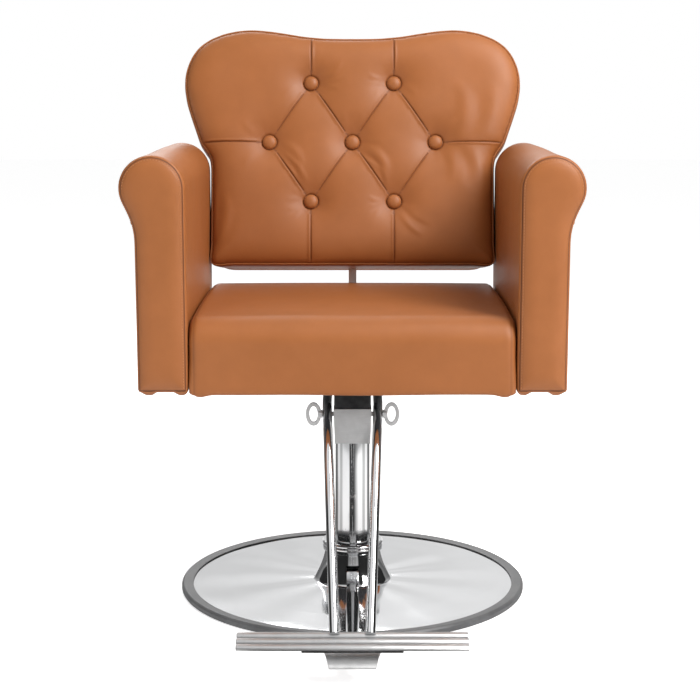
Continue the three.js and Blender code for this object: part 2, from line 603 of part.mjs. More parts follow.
function buildArms() {
  const padFront = ARM_FRONT_Y + FACING_THICKNESS + GAP;
  const coreX0 = ARM_MIDDLE_X - ARM_CORE_THICKNESS / 2;
  const coreX1 = ARM_MIDDLE_X + ARM_CORE_THICKNESS / 2;
  const coreFront = padFront + ARM_CORE_MARGIN;
  const coreRear = ARM_REAR_Y - ARM_CORE_MARGIN * 0.4;
  const coreTop = ARM_ROLL_Z - ARM_CORE_DROP;
  const [sideBoltY, sideBoltZ] = sideBoltPlace();
  const boltHead = rodX(SIDE_HEAD_RADIUS + HOLE_CLEARANCE, coreX1 - 1, coreX1 + SIDE_HEAD_HEIGHT + 2, sideBoltY,
    sideBoltZ);
  const boltHole = rodX(HOLE, ARM_INNER_X - 1, coreX1 + 1, sideBoltY, sideBoltZ, 12);
  const slot = box(coreX0 - GAP, coreX1 + GAP, coreFront - GAP, coreRear + GAP, ARM_BOTTOM_Z - 1, coreTop + GAP);
  const pad = cut(alongY(armOutline(), padFront, ARM_REAR_Y, 8), slot, boltHead, boltHole);
  const holeTop = ARM_BOTTOM_Z + ARM_BOLT_BITE + THREAD_END;
  const footHoles = FRAME_BAR_Y.map((y) => rodZ(HOLE, ARM_MIDDLE_X, y, ARM_BOTTOM_Z - 1, holeTop, 12));
  const core = cut(box(coreX0, coreX1, coreFront, coreRear, ARM_BOTTOM_Z, coreTop), boltHole, ...footHoles);
  const facing = alongY(armOutline(1), ARM_FRONT_Y, ARM_FRONT_Y + FACING_THICKNESS, 8);
  SIDES.forEach(([name, side]) => {
    add(`arm_pad_${name}`, forSide(pad, side), leather);
    add(`arm_core_${name}`, forSide(core, side), plywood);
    add(`arm_facing_${name}`, forSide(facing, side), leather);
  });
}

// ---------------------------------------------------------------- backrest

function backOutline(inset = 0) {
  const corner = new THREE.Vector2(BACK_FOOT_HALF - BACK_CORNER_RADIUS, BACK_CORNER_RADIUS);
  const right = [];
  for (let i = 0; i <= 5; i += 1) {
    const a = -Math.PI / 2 + (i / 5) * (Math.PI / 2);
    right.push(new THREE.Vector2(Math.cos(a), Math.sin(a)).multiplyScalar(BACK_CORNER_RADIUS).add(corner));
  }
  const widening = BACK_FOOT_HALF - BACK_DRAWN_HALF;
  BACK_HALF.forEach(([x, h]) => right.push(new THREE.Vector2(x + widening * Math.min(1, x / BACK_DRAWN_HALF), h)));
  const left = right.map((p) => new THREE.Vector2(-p.x, p.y)).reverse();
  const ring = [...right, ...left];
  const moved = ring.map((p, i) => {
    const before = ring[(i + ring.length - 1) % ring.length];
    const after = ring[(i + 1) % ring.length];
    const along = after.clone().sub(before).normalize();
    return new THREE.Vector2(p.x - along.y * inset, p.y + along.x * inset);
  });
  return new THREE.Shape(moved);
}

function sideBoltPlace() {
  return backPlace(SIDE_BOLT_HEIGHT, BACK_BOARD_DEPTH + BACK_BOARD / 2);
}

function buttonPlaces() {
  const rows = [[BUTTON_ROW_H + BUTTON_PITCH_H, [-0.5, 0.5]], [BUTTON_ROW_H, [-1, 0, 1]],
    [BUTTON_ROW_H - BUTTON_PITCH_H, [-0.5, 0.5]]];
  return rows.flatMap(([h, columns]) => columns.map((c) => [c * BUTTON_PITCH_X, h]));
}

function buildBackrest() {
  // In this group x runs across, y up the backrest and z out of its front.
  const back = new THREE.Group();
  back.position.set(0, BACK_FRONT_Y, BACK_Z);
  back.rotation.x = Math.PI / 2 - BACK_RECLINE;
  chair.add(back);

  add('backrest_cushion', extrude(backOutline(), BACK_CUSHION).translate(0, 0, -BACK_CUSHION), leather, back);

  const boardFront = -BACK_BOARD_DEPTH;
  const boardMiddle = boardFront - BACK_BOARD / 2;
  const boardEdge = BACK_FOOT_HALF - BACK_BOARD_INSET;
  const biteX = boardEdge - SIDE_BOLT_BITE - THREAD_END;
  const sideHole = rodX(HOLE, biteX, ARM_INNER_X, SIDE_BOLT_HEIGHT, boardMiddle, 12);
  const sideHoles = [forSide(sideHole, -1), sideHole];
  const screwHoles = STAY_SCREWS.map((h) => rodZ(SCREW_RADIUS + HOLE_CLEARANCE, 0, h, boardFront - BACK_BOARD - 1,
    boardFront - 4, 12));
  const board = extrude(backOutline(BACK_BOARD_INSET), BACK_BOARD).translate(0, 0, boardFront - BACK_BOARD);
  add('backrest_board', cut(board, ...sideHoles, ...screwHoles), plywood, back);

  const rear = -BACK_REAR_DEPTH;
  const pocket = box(-STAY_WIDTH / 2 - 2, STAY_WIDTH / 2 + 2, -1, STAY_REACH + 3, rear - STAY_POCKET, rear + 1);
  const pad = extrude(backOutline(), BACK_REAR_PAD).translate(0, 0, rear - BACK_REAR_PAD);
  add('backrest_rear_pad', cut(pad, pocket), leather, back);

  const button = turned([[0, 0], [BUTTON_RADIUS, 0], [BUTTON_RADIUS, 2.2], [BUTTON_RADIUS * 0.84, 4.8],
    [BUTTON_RADIUS * 0.5, BUTTON_HEIGHT - 0.5], [0, BUTTON_HEIGHT]], COARSE);
  buttonPlaces().forEach(([x, h], i) => {
    add(`back_button_${i + 1}`, button, leather, back).position.set(x, h, GAP);
  });

  STAY_SCREWS.forEach((h, i) => {
    const length = BACK_BOARD + STAY_THICKNESS - 6;
    const screw = bolt(length, SCREW_RADIUS, SCREW_HEAD_RADIUS, SCREW_HEAD_HEIGHT);
    add(`stay_screw_${i + 1}`, screw, zinc, back).position.set(0, h, rear - STAY_THICKNESS - 2 * GAP);
  });

  const [boltY, boltZ] = sideBoltPlace();
  const boltX = ARM_MIDDLE_X + ARM_CORE_THICKNESS / 2 + GAP;
  SIDES.forEach(([name, side]) => {
    const piece = bolt(boltX - boardEdge + SIDE_BOLT_BITE, BOLT_RADIUS, SIDE_HEAD_RADIUS, SIDE_HEAD_HEIGHT);
    const mesh = add(`back_side_bolt_${name}`, piece, zinc);
    mesh.position.set(side * boltX, boltY, boltZ);
    mesh.rotation.y = -side * Math.PI / 2;
  });
}

// Flat strap from under the seat, up behind it and up the back of the board.
function buildStay() {
  const depth = BACK_REAR_DEPTH + GAP;
  const bendHeight = -14; // below the board, where the strap leans back
  const mitre = (STAY_THICKNESS * (1 - Math.cos(BACK_RECLINE))) / Math.sin(BACK_RECLINE);
  const [bendY, bendZ] = backPlace(bendHeight, depth);
  const outerBendZ = backPlace(bendHeight + mitre, depth + STAY_THICKNESS)[1];
  const lower = SEAT_BOTTOM_Z - GAP - STAY_THICKNESS;
  const toe = FRAME_HALF_LENGTH + 2;
  const strap = polygon([
    [toe, lower], [bendY + STAY_THICKNESS, lower], [bendY + STAY_THICKNESS, outerBendZ],
    backPlace(STAY_REACH, depth + STAY_THICKNESS), backPlace(STAY_REACH, depth), [bendY, bendZ],
    [bendY, lower + STAY_THICKNESS], [toe, lower + STAY_THICKNESS],
  ]);
  const hole = rodZ(HOLE, 0, STAY_FOOT_Y, lower - 1, lower + STAY_THICKNESS + 1, 12);
  const screwHoles = STAY_SCREWS.map((h) => {
    const [y, z] = backPlace(h, depth + STAY_THICKNESS / 2);
    return rod(SCREW_RADIUS + HOLE_CLEARANCE, STAY_THICKNESS * 3, 12).rotateX(-BACK_RECLINE).translate(0, y, z);
  });
  add('back_stay', cut(alongX(strap, -STAY_WIDTH / 2, STAY_WIDTH / 2), hole, ...screwHoles), chrome);
  add('stay_foot_bolt', bolt(BOARD_TOP_Z - THREAD_END - lower), zinc).position.set(0, STAY_FOOT_Y, lower - GAP);
}

// ---------------------------------------------------------------- footrest

function buildFootrestMount() {
  const y0 = PIVOT_Y - CLAMP_DEPTH / 2;
  const y1 = PIVOT_Y + CLAMP_DEPTH / 2;
  const top = PIVOT_Z + CLAMP_ABOVE_PIVOT;
  const foot = PIVOT_Z - CLAMP_BELOW_PIVOT;
  const face = polygon([[-CLAMP_FOOT_WIDTH / 2, foot], [CLAMP_FOOT_WIDTH / 2, foot], [CLAMP_TOP_WIDTH / 2, top],
    [-CLAMP_TOP_WIDTH / 2, top]]);
  const bore = rodX(CROSS_BOLT_RADIUS + HOLE_CLEARANCE, -CLAMP_TOP_WIDTH, CLAMP_TOP_WIDTH, PIVOT_Y, PIVOT_Z);
  add('clamp_block', cut(alongY(face, y0, y1), bore), satinSteel);
  const half = CLAMP_TOP_WIDTH / 2 - 0.8;
  add('footrest_hanger', box(-half, half, y0 + 1.5, y1 - 1.5, top + GAP, FRAME_BOTTOM_Z - GAP), blackSteel);
  const reach = NUT_X + NUT_LENGTH - THREAD_END - 0.5;
  add('cross_bolt', rodX(CROSS_BOLT_RADIUS, -reach, reach, PIVOT_Y, PIVOT_Z), zinc);
}

// The line down the middle of the right rod.
function rodPath() {
  const topX = ROD_X;
  const foot = new THREE.Vector3(ROD_FOOT_SPACING / 2, TREAD_Y + TREAD_DEPTH * 0.36, TREAD_Z + TREAD_THICKNESS);
  const pivot = new THREE.Vector3(topX, PIVOT_Y, PIVOT_Z);
  const slope = pivot.clone().sub(foot).normalize();
  const shoulder = pivot.clone().addScaledVector(slope, ROD_RADIUS);
  const heelZ = SEAT_BOTTOM_Z - ROD_HEEL_DROP;
  const heel = new THREE.Vector3(topX, ROD_HEEL_Y, heelZ);
  const reach = (heelZ - shoulder.z) / slope.z;
  const corner = shoulder.clone().addScaledVector(slope, reach);
  const path = new THREE.CurvePath();
  path.add(new THREE.LineCurve3(foot, shoulder));
  path.add(new THREE.QuadraticBezierCurve3(shoulder, corner, heel));
  return { path, foot, shoulder, corner, heel };
}

// Round bar swept down a list of points, each ring square to the line there.
function sweptBar(points, radius, segments) {
  const rings = points.map((p, i) => {
    const before = points[Math.max(i - 1, 0)];
    const after = points[Math.min(i + 1, points.length - 1)];
    const along = after.clone().sub(before).normalize();
    const side = new THREE.Vector3().crossVectors(along, Z_AXIS).normalize();
    const up = new THREE.Vector3().crossVectors(side, along);
    return Array.from({ length: segments }, (_, k) => {
      const a = 2 * Math.PI * (k / segments);
      return p.clone().addScaledVector(side, radius * Math.cos(a)).addScaledVector(up, radius * Math.sin(a));
    });
  });
  const vertices = [...rings.flat(), points[0], points[points.length - 1]];
  const index = [];
  const firstEnd = vertices.length - 2;
  const lastEnd = vertices.length - 1;
  const lastRing = (rings.length - 1) * segments;
  for (let k = 0; k < segments; k += 1) {
    const next = (k + 1) % segments;
    for (let i = 0; i < rings.length - 1; i += 1) {
      const [a, b] = [i * segments + k, i * segments + next];
      index.push(a, b, b + segments, a, b + segments, a + segments);
    }
    index.push(firstEnd, next, k, lastEnd, lastRing + k, lastRing + next);
  }
  const geometry = new THREE.BufferGeometry().setFromPoints(vertices);
  geometry.setIndex(index);
  return closed(geometry);
}

// Puts a geometry drawn about the tread's own middle where the tread is.
function treadPlace(geometry) {
  return geometry.rotateX(TREAD_TILT).translate(0, TREAD_Y, TREAD_Z);
}

function treadOutline() {
  const half = TREAD_DEPTH / 2;
  const top = TREAD_THICKNESS / 2;
  const points = [[-half, -top], [half, -top], [half, top]];
  for (let i = TREAD_RIBS - 1; i > 0; i -= 1) {
    const groove = -half + (TREAD_DEPTH * i) / TREAD_RIBS;
    points.push([groove + GROOVE_WIDTH, top], [groove + GROOVE_WIDTH / 2, top - GROOVE_DEPTH],
      [groove - GROOVE_WIDTH / 2, top - GROOVE_DEPTH], [groove - GROOVE_WIDTH, top]);
  }
  points.push([-half, top]);
  return polygon(points);
}

function buildFootrest() {
  const { foot, shoulder, corner, heel } = rodPath();
  const bend = new THREE.QuadraticBezierCurve3(shoulder, corner, heel).getPoints(6);
  const overrun = 12; // cut off again where the rod lands on the tread
  const past = foot.clone().addScaledVector(foot.clone().sub(shoulder).normalize(), overrun);
  const bar = sweptBar([past, ...bend], ROD_RADIUS, 20);
  const room = ROD_RADIUS * 3;
  const landingZ = TREAD_THICKNESS / 2 + GAP;
  const landing = treadPlace(box(-room * 3, room * 3, -TREAD_DEPTH, TREAD_DEPTH, -room, landingZ));
  const pivotHole = rodX(CROSS_BOLT_RADIUS + HOLE_CLEARANCE, 0, NUT_X + 5, PIVOT_Y, PIVOT_Z);
  const rodSolid = cut(bar, landing, pivotHole);
  SIDES.forEach(([name, side]) => add(`footrest_rod_${name}`, forSide(rodSolid, side), chrome));

  const boltX = MOUNT_BOLT_SPACING / 2;
  const treadBottom = -TREAD_THICKNESS / 2;
  const mountTop = treadBottom - GAP;
  const mountBottom = mountTop - MOUNT_THICKNESS;
  const bite = TREAD_THICKNESS - GROOVE_DEPTH - THREAD_END;
  const drill = [-boltX, boltX].map((x) => rodZ(SCREW_RADIUS + HOLE_CLEARANCE, x, 0, mountBottom - 1,
    treadBottom + bite + 0.6, 12));
  const tread = alongX(treadOutline(), -TREAD_LENGTH / 2, TREAD_LENGTH / 2);
  add('footrest_tread', treadPlace(cut(tread, ...drill)), satinSteel);
  const mount = box(-MOUNT_LENGTH / 2, MOUNT_LENGTH / 2, -MOUNT_DEPTH / 2, MOUNT_DEPTH / 2,
    mountBottom, mountTop);
  add('footrest_mount_plate', treadPlace(cut(mount, ...drill)), blackSteel);
  SIDES.forEach(([name, side]) => {
    const screw = bolt(bite + MOUNT_THICKNESS + GAP, SCREW_RADIUS, BOLT_HEAD_RADIUS * 0.9, BOLT_HEAD_HEIGHT);
    screw.translate(side * boltX, 0, mountBottom - GAP);
    add(`tread_bolt_${name}`, treadPlace(screw), zinc);
  });
}

function buildClampNuts() {
  const boss = rodX(NUT_RADIUS, NUT_X, NUT_X + NUT_LENGTH, PIVOT_Y, PIVOT_Z, 6);
  const ringX = NUT_X + 1.6 + RING_HALF_WIDTH;
  const ellipse = (rx, rz) => {
    const s = new THREE.Shape();
    s.absellipse(ringX, PIVOT_Z, rx, rz, 0, 2 * Math.PI);
    return s;
  };
  const half = RING_BAND / 2;
  const loop = alongY(ellipse(RING_HALF_WIDTH, RING_HALF_HEIGHT), PIVOT_Y - half, PIVOT_Y + half, 14);
  const hole = alongY(ellipse(RING_HALF_WIDTH - RING_BAND, RING_HALF_HEIGHT - RING_BAND), PIVOT_Y - RING_BAND,
    PIVOT_Y + RING_BAND, 14);
  const boreEnd = NUT_X + NUT_LENGTH - THREAD_END;
  const bore = rodX(CROSS_BOLT_RADIUS + HOLE_CLEARANCE, NUT_X - 1, boreEnd, PIVOT_Y, PIVOT_Z);
  const nut = cut(join(cut(loop, hole), boss), bore);
  SIDES.forEach(([name, side]) => add(`ring_nut_${name}`, forSide(nut, side), chrome));
}

buildBase();
buildPump();
buildPedal();
buildSeat();
buildSeatFrame();
buildArms();
buildBackrest();
buildStay();
buildFootrestMount();
buildFootrest();
buildClampNuts();

export default chair;
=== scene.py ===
"""Looks of a salon styling chair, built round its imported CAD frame."""

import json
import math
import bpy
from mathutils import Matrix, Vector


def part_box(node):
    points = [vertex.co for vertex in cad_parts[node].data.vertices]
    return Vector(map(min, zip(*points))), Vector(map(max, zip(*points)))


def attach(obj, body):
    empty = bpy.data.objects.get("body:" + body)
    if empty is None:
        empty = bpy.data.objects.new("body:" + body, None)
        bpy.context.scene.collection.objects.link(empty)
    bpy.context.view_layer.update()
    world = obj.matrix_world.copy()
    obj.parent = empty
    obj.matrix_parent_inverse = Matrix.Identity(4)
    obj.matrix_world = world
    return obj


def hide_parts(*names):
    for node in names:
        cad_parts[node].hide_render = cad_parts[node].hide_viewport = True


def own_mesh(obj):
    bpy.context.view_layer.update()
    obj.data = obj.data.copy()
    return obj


bl_info = {
    "name": "Styling Chair Builder",
    "version": (1, 0, 0),
    "blender": (4, 5, 0),
    "location": "3D View > Sidebar > Styling Chair",
    "description": "Builds the upholstery, chrome and fittings of a salon styling chair round its CAD frame",
    "category": "Object",
}

import bmesh
import bpy
import numpy as np
from bpy.props import FloatProperty, FloatVectorProperty, IntProperty, PointerProperty
from mathutils import Euler, Vector
from mathutils.geometry import delaunay_2d_cdt

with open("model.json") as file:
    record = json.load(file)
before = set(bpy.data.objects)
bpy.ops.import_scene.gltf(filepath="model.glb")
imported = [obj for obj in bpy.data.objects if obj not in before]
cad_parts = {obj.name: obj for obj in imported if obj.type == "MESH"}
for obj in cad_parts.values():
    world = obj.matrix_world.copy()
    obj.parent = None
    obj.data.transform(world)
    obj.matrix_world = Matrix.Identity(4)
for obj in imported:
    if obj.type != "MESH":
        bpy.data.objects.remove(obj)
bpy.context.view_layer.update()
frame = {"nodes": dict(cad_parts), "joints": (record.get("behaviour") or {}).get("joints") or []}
MM = 0.001
SIDES = (("left", -1), ("right", 1))


# ------------------------------------------------------------------ sizes and colours


def length(name, description, default, low=0.0):
    return FloatProperty(
        name=name, description=description, default=default, min=low, subtype="DISTANCE", unit="LENGTH"
    )


def colour(name, description, default):
    return FloatVectorProperty(
        name=name, description=description, default=default, size=3, min=0.0, max=1.0, subtype="COLOR"
    )


class ChairSizes(bpy.types.PropertyGroup):
    back_puff: length("Backrest puff", "Height of the padding between the buttons", 12.5 * MM)
    back_edge_drop: length("Backrest edge drop", "Depth of the front seam behind the cushion's front", 8 * MM)
    back_edge_reach: length("Backrest edge reach", "Width of the rounded margin inside the seam", 66 * MM)
    welt_radius: length("Welt radius", "Half the thickness of the piping", 1.5 * MM)
    button_radius: length("Button radius", "Half the width of a covered button", 13 * MM)
    button_dimple: length("Button dimple", "Reach of the hollow round a button", 27 * MM)
    pleat_depth: length("Pleat depth", "Depth of the valley along a pleat", 5.2 * MM)
    pleat_width: length("Pleat width", "Half width of the valley along a pleat", 14 * MM)
    seam_groove: length("Seam groove", "Depth of the sharp groove along a seam", 2.0 * MM)
    panel_step: length("Panel step", "Spacing of the points on the tufted panel", 3.4 * MM)
    facing_crown: length("Arm facing crown", "How far the arm's facing stands out in its middle", 8 * MM)
    seat_side_round: length("Seat side rounding", "Radius of the seat's upper side edges", 15 * MM)
    seat_swell: length("Seat swell", "Extra height in the middle of the seat", 4 * MM)
    stitch_length: length("Stitch length", "Length of one stitch", 3.2 * MM)
    stitch_pitch: length("Stitch pitch", "From one stitch to the next", 4.6 * MM)
    thread_radius: length("Thread radius", "Half the thickness of the sewing thread", 0.45 * MM)
    round_sides: IntProperty(name="Round sides", description="Sides of a turned piece", default=128, min=24)


class ChairColours(bpy.types.PropertyGroup):
    leather: colour("Leather", "Main colour of the covers", (0.352, 0.116, 0.030))
    # Painted shade: the colour the leather is darkened to in folds, creases and recesses where shade falls.
    leather_fold_shade: colour("Leather in folds", "Leather where it is creased or shaded", (0.215, 0.060, 0.014))
    # Dark seam line, also used as painted shade in grooves, under welts and in recesses between parts.
    seam: colour("Seam", "Dark line where two panels meet", (0.070, 0.016, 0.005))
    thread: colour("Thread", "Sewing thread", (0.470, 0.190, 0.070))
    chrome: colour("Chrome", "Polished chrome", (0.86, 0.865, 0.875))
    satin: colour("Satin steel", "Brushed steel of the clamp and tread", (0.66, 0.66, 0.665))
    trim: colour("Trim ring", "Dark satin ring round the base", (0.120, 0.122, 0.126))
    black: colour("Black paint", "Painted steel under the seat", (0.014, 0.014, 0.015))
    iron: colour("Cast iron", "Pump body and foot plate", (0.045, 0.045, 0.048))
    zinc: colour("Zinc", "Plated screws and bolts", (0.60, 0.60, 0.61))
    wood: colour("Plywood", "Boards inside the seat", (0.55, 0.36, 0.18))
    cloth: colour("Dust cloth", "Cloth under the seat", (0.012, 0.012, 0.014))


def sizes():
    return bpy.context.scene.chair_sizes


def colours():
    return bpy.context.scene.chair_colours


# ------------------------------------------------------------------ shader helpers


class Wiring:
    """Adds nodes to a tree and joins them in one line each."""

    def __init__(self, tree):
        self.tree = tree

    def put(self, kind, inputs=None, **settings):
        node = self.tree.nodes.new(kind)
        for key, value in settings.items():
            setattr(node, key, value)
        for key, value in (inputs or {}).items():
            socket = node.inputs[key]
            if isinstance(value, bpy.types.NodeSocket):
                self.tree.links.new(value, socket)
            else:
                socket.default_value = value
        return node

    def made(self, kind, inputs=None, **settings):
        """The first output of a new node."""
        return self.put(kind, inputs, **settings).outputs[0]

    def math(self, operation, a, b=0.5, clamp=False):
        return self.made("ShaderNodeMath", {0: a, 1: b}, operation=operation, use_clamp=clamp)

    def times(self, a, b, clamp=False):
        return self.math("MULTIPLY", a, b, clamp)

    def plus(self, a, b):
        return self.math("ADD", a, b)

    def place(self):
        """Where the surface is, in metres in the chair's frame."""
        return self.put("ShaderNodeTexCoord").outputs["Object"]

    def mix(self, factor, a, b):
        node = self.put("ShaderNodeMix", data_type="RGBA", clamp_factor=True)
        for index, value in ((0, factor), (6, a), (7, b)):
            if isinstance(value, bpy.types.NodeSocket):
                self.tree.links.new(value, node.inputs[index])
            else:
                node.inputs[index].default_value = value if index == 0 else (*value, 1.0)
        return node.outputs[2]

    def span(self, value, low, high, to_low=0.0, to_high=1.0):
        node = self.put(
            "ShaderNodeMapRange",
            {"Value": value, "From Min": low, "From Max": high, "To Min": to_low, "To Max": to_high},
        )
        return node.outputs[0]

    def noise(self, where, scale, detail=3.0, roughness=0.5):
        return self.made(
            "ShaderNodeTexNoise", {"Vector": where, "Scale": scale, "Detail": detail, "Roughness": roughness}
        )


def shader_group(name, inputs, outputs, fill):
    """One shared node group, made the first time that it is asked for."""
    tree = bpy.data.node_groups.get(name)
    if tree:
        return tree
    tree = bpy.data.node_groups.new(name, "ShaderNodeTree")
    for label, default in inputs:
        socket = tree.interface.new_socket(name=label, in_out="INPUT", socket_type="NodeSocketFloat")
        socket.default_value = default
    for label in outputs:
        tree.interface.new_socket(name=label, in_out="OUTPUT", socket_type="NodeSocketFloat")
    source = tree.nodes.new("NodeGroupInput")
    sink = tree.nodes.new("NodeGroupOutput")
    results = fill(Wiring(tree), source.outputs)
    for label, socket in results.items():
        tree.links.new(socket, sink.inputs[label])
    return tree


def leather_grain():
    """Pebbled grain: Height for the bump, Tone for the colour, Gloss for the roughness."""

    def fill(w, given):
        where = w.place()
        warp = w.put("ShaderNodeTexNoise", {"Vector": where, "Scale": 260.0, "Detail": 2.0}).outputs["Color"]
        bent = w.made("ShaderNodeVectorMath", {0: warp, "Scale": 0.0012}, operation="SCALE")
        moved = w.made("ShaderNodeVectorMath", {0: where, 1: bent}, operation="ADD")
        scattered = {"Vector": moved, "Scale": given["Cells Per Metre"]}
        cells = w.put("ShaderNodeTexVoronoi", scattered, feature="DISTANCE_TO_EDGE").outputs["Distance"]
        pebble = w.span(cells, 0.0, 0.22)
        fine = w.noise(where, 2600.0, 2.0)
        height = w.plus(w.times(pebble, 0.8), w.times(fine, 0.35))
        cloud = w.noise(where, 7.0, 4.0, 0.55)
        patch = w.noise(where, 42.0, 3.0)
        tone = w.plus(w.times(cloud, 0.65), w.times(patch, 0.35))
        tone = w.plus(tone, w.times(w.math("SUBTRACT", pebble, 0.7), 0.10))
        gloss = w.span(w.plus(w.times(cloud, 0.6), w.times(fine, 0.4)), 0.3, 0.7)
        return {"Height": height, "Tone": tone, "Gloss": gloss}

    return shader_group("Leather Grain", [("Cells Per Metre", 780.0)], ["Height", "Tone", "Gloss"], fill)


def edge_wear():
    """A mask, 1 on worn outer edges and 0 elsewhere."""

    def fill(w, given):
        sharp = w.put("ShaderNodeNewGeometry").outputs["Pointiness"]
        where = w.place()
        broken = w.span(w.noise(where, 90.0, 4.0), 0.35, 0.65)
        edge = w.times(w.span(sharp, 0.505, 0.56), broken)
        return {"Wear": w.times(edge, given["Amount"], clamp=True)}

    return shader_group("Edge Wear", [("Amount", 0.6)], ["Wear"], fill)


def fine_scratches():
    """Hairlines from wiping and handling: Mask for the roughness, Height for the bump."""

    def fill(w, given):
        where = w.place()
        total = None
        for turn in (0.35, 1.5, 2.5):
            stretched = w.made(
                "ShaderNodeMapping",
                {"Vector": where, "Rotation": (turn, turn * 0.7, turn * 1.3), "Scale": (30.0, 900.0, 900.0)},
            )
            line = w.span(w.noise(stretched, 1.0, 2.0), 0.60, 0.72)
            total = line if total is None else w.math("MAXIMUM", total, line)
        smear = w.noise(where, 24.0, 4.0)
        mask = w.plus(w.times(total, 0.6), w.times(smear, 0.4))
        return {"Mask": w.times(mask, given["Amount"]), "Height": total}

    return shader_group("Fine Scratches", [("Amount", 1.0)], ["Mask", "Height"], fill)


def floor_dust():
    """A mask of dust that settles on faces that look up."""

    def fill(w, given):
        normal = w.put("ShaderNodeNewGeometry").outputs["Normal"]
        up = w.put("ShaderNodeSeparateXYZ", {0: normal}).outputs["Z"]
        where = w.place()
        specks = w.span(w.noise(where, 320.0, 5.0, 0.65), 0.52, 0.75)
        film = w.span(w.noise(where, 9.0, 4.0), 0.4, 0.8)
        both = w.plus(w.times(specks, 0.6), w.times(film, 0.4))
        facing = w.span(up, 0.5, 1.0)
        return {"Dust": w.times(w.times(both, facing), given["Amount"], clamp=True)}

    return shader_group("Settled Dust", [("Amount", 0.15)], ["Dust"], fill)


def new_material(name, **sockets):
    """A material with its Principled shader's own constants set."""
    material = bpy.data.materials.new(name)
    material.use_nodes = True
    shader = material.node_tree.nodes["Principled BSDF"]
    for key, value in sockets.items():
        shader.inputs[key.replace("_", " ")].default_value = value
    return material, Wiring(material.node_tree), shader


def feed(w, shader, **sources):
    for key, value in sources.items():
        w.tree.links.new(value, shader.inputs[key.replace("_", " ")])


def bump(w, height, distance, strength=1.0, normal=None):
    given = {"Height": height, "Distance": distance, "Strength": strength}
    if normal is not None:
        given["Normal"] = normal
    return w.made("ShaderNodeBump", given)


def group_in(w, tree, **values):
    given = {key.replace("_", " "): value for key, value in values.items()}
    node = w.tree.nodes.new("ShaderNodeGroup")
    node.node_tree = tree
    for key, value in given.items():
        node.inputs[key].default_value = value
    return node.outputs


def leather_material():
    c = colours()
    material, w, shader = new_material(
        "Tan leather", Specular_IOR_Level=0.42, Coat_Weight=0.06, Coat_Roughness=0.35
    )
    grain = group_in(w, leather_grain(), Cells_Per_Metre=780.0)
    wear = group_in(w, edge_wear(), Amount=0.35)["Wear"]
    crease_shade = w.put("ShaderNodeAttribute", attribute_name="crease_shade").outputs["Fac"]
    seam = w.put("ShaderNodeAttribute", attribute_name="seam").outputs["Fac"]
    lighter = scaled(c.leather, 1.06, 0.002)
    darker = scaled(c.leather, 0.94)
    base = w.mix(w.span(grain["Tone"], 0.33, 0.67), darker, lighter)
    base = w.mix(w.times(wear, 0.4), base, scaled(c.leather, 1.3, 0.02))
    # Painted shade: the crease mask darkens the leather in folds, creases, under buttons and in recesses.
    base = w.mix(w.times(crease_shade, 0.75, clamp=True), base, tuple(c.leather_fold_shade))
    # Seam line and painted shade: this mask darkens seam lines, grooves, welt walls and recesses between parts.
    base = w.mix(w.times(seam, 0.95, clamp=True), base, tuple(c.seam))
    rough = w.plus(w.span(grain["Gloss"], 0.0, 1.0, 0.40, 0.54), w.times(seam, 0.25))
    feed(w, shader, Base_Color=base, Roughness=rough, Normal=bump(w, grain["Height"], 0.00010, 0.55))
    return material


def thread_material():
    material, w, shader = new_material(
        "Sewing thread", Specular_IOR_Level=0.3, Sheen_Weight=0.2, Sheen_Roughness=0.5
    )
    where = w.place()
    twist = w.noise(where, 2400.0, 2.0)
    dark = scaled(colours().thread, 0.7)
    feed(
        w,
        shader,
        Base_Color=w.mix(twist, dark, scaled(colours().thread, 1.4)),
        Roughness=w.span(twist, 0.0, 1.0, 0.55, 0.75),
        Normal=bump(w, twist, 0.0001, 0.5),
    )
    return material


def chrome_material(name, roughness=0.045, ripple=0.0, ripple_scale=7.0):
    """Polished chrome; ripple is the height in metres of the sheet's soft waves."""
    material, w, shader = new_material(name, Metallic=1.0)
    marks = group_in(w, fine_scratches(), Amount=1.0)
    dust = group_in(w, floor_dust(), Amount=0.10)["Dust"]
    wear = group_in(w, edge_wear(), Amount=0.3)["Wear"]
    where = w.place()
    haze = w.noise(where, 16.0, 4.0)
    tone = tuple(colours().chrome)
    base = w.mix(w.span(haze, 0.3, 0.7), scaled(tone, 0.965), tone)
    base = w.mix(dust, base, (0.62, 0.60, 0.57))
    rough = w.plus(w.times(marks["Mask"], 0.035), roughness)
    rough = w.plus(rough, w.times(w.plus(dust, w.times(wear, 0.2)), 0.35))
    normal = bump(w, marks["Height"], 0.000012, 0.35)
    if ripple:
        wave = w.noise(where, ripple_scale, 1.5, 0.4)
        normal = bump(w, wave, ripple, 1.0, normal)
    feed(w, shader, Base_Color=base, Roughness=rough, Normal=normal)
    return material


def brushed_material(name, tone, along=(1.0, 60.0, 60.0), roughness=0.3, metallic=1.0, strength=0.25):
    """Steel brushed along one axis."""
    material, w, shader = new_material(name, Metallic=metallic)
    where = w.place()
    stretched = w.made("ShaderNodeMapping", {"Vector": where, "Scale": along})
    lines = w.noise(stretched, 30.0, 5.0, 0.6)
    cloud = w.noise(where, 20.0, 3.0)
    wear = group_in(w, edge_wear(), Amount=0.5)["Wear"]
    dust = group_in(w, floor_dust(), Amount=0.08)["Dust"]
    shade = w.plus(w.times(lines, 0.6), w.times(cloud, 0.4))
    base = w.mix(w.span(shade, 0.3, 0.7), scaled(tone, 0.86), scaled(tone, 1.08))
    base = w.mix(w.times(wear, 0.5), base, scaled(tone, 1.3))
    base = w.mix(dust, base, (0.60, 0.58, 0.55))
    feed(
        w,
        shader,
        Base_Color=base,
        Roughness=w.span(shade, 0.3, 0.7, roughness * 0.8, roughness * 1.25),
        Normal=bump(w, lines, 0.00003, strength),
    )
    return material


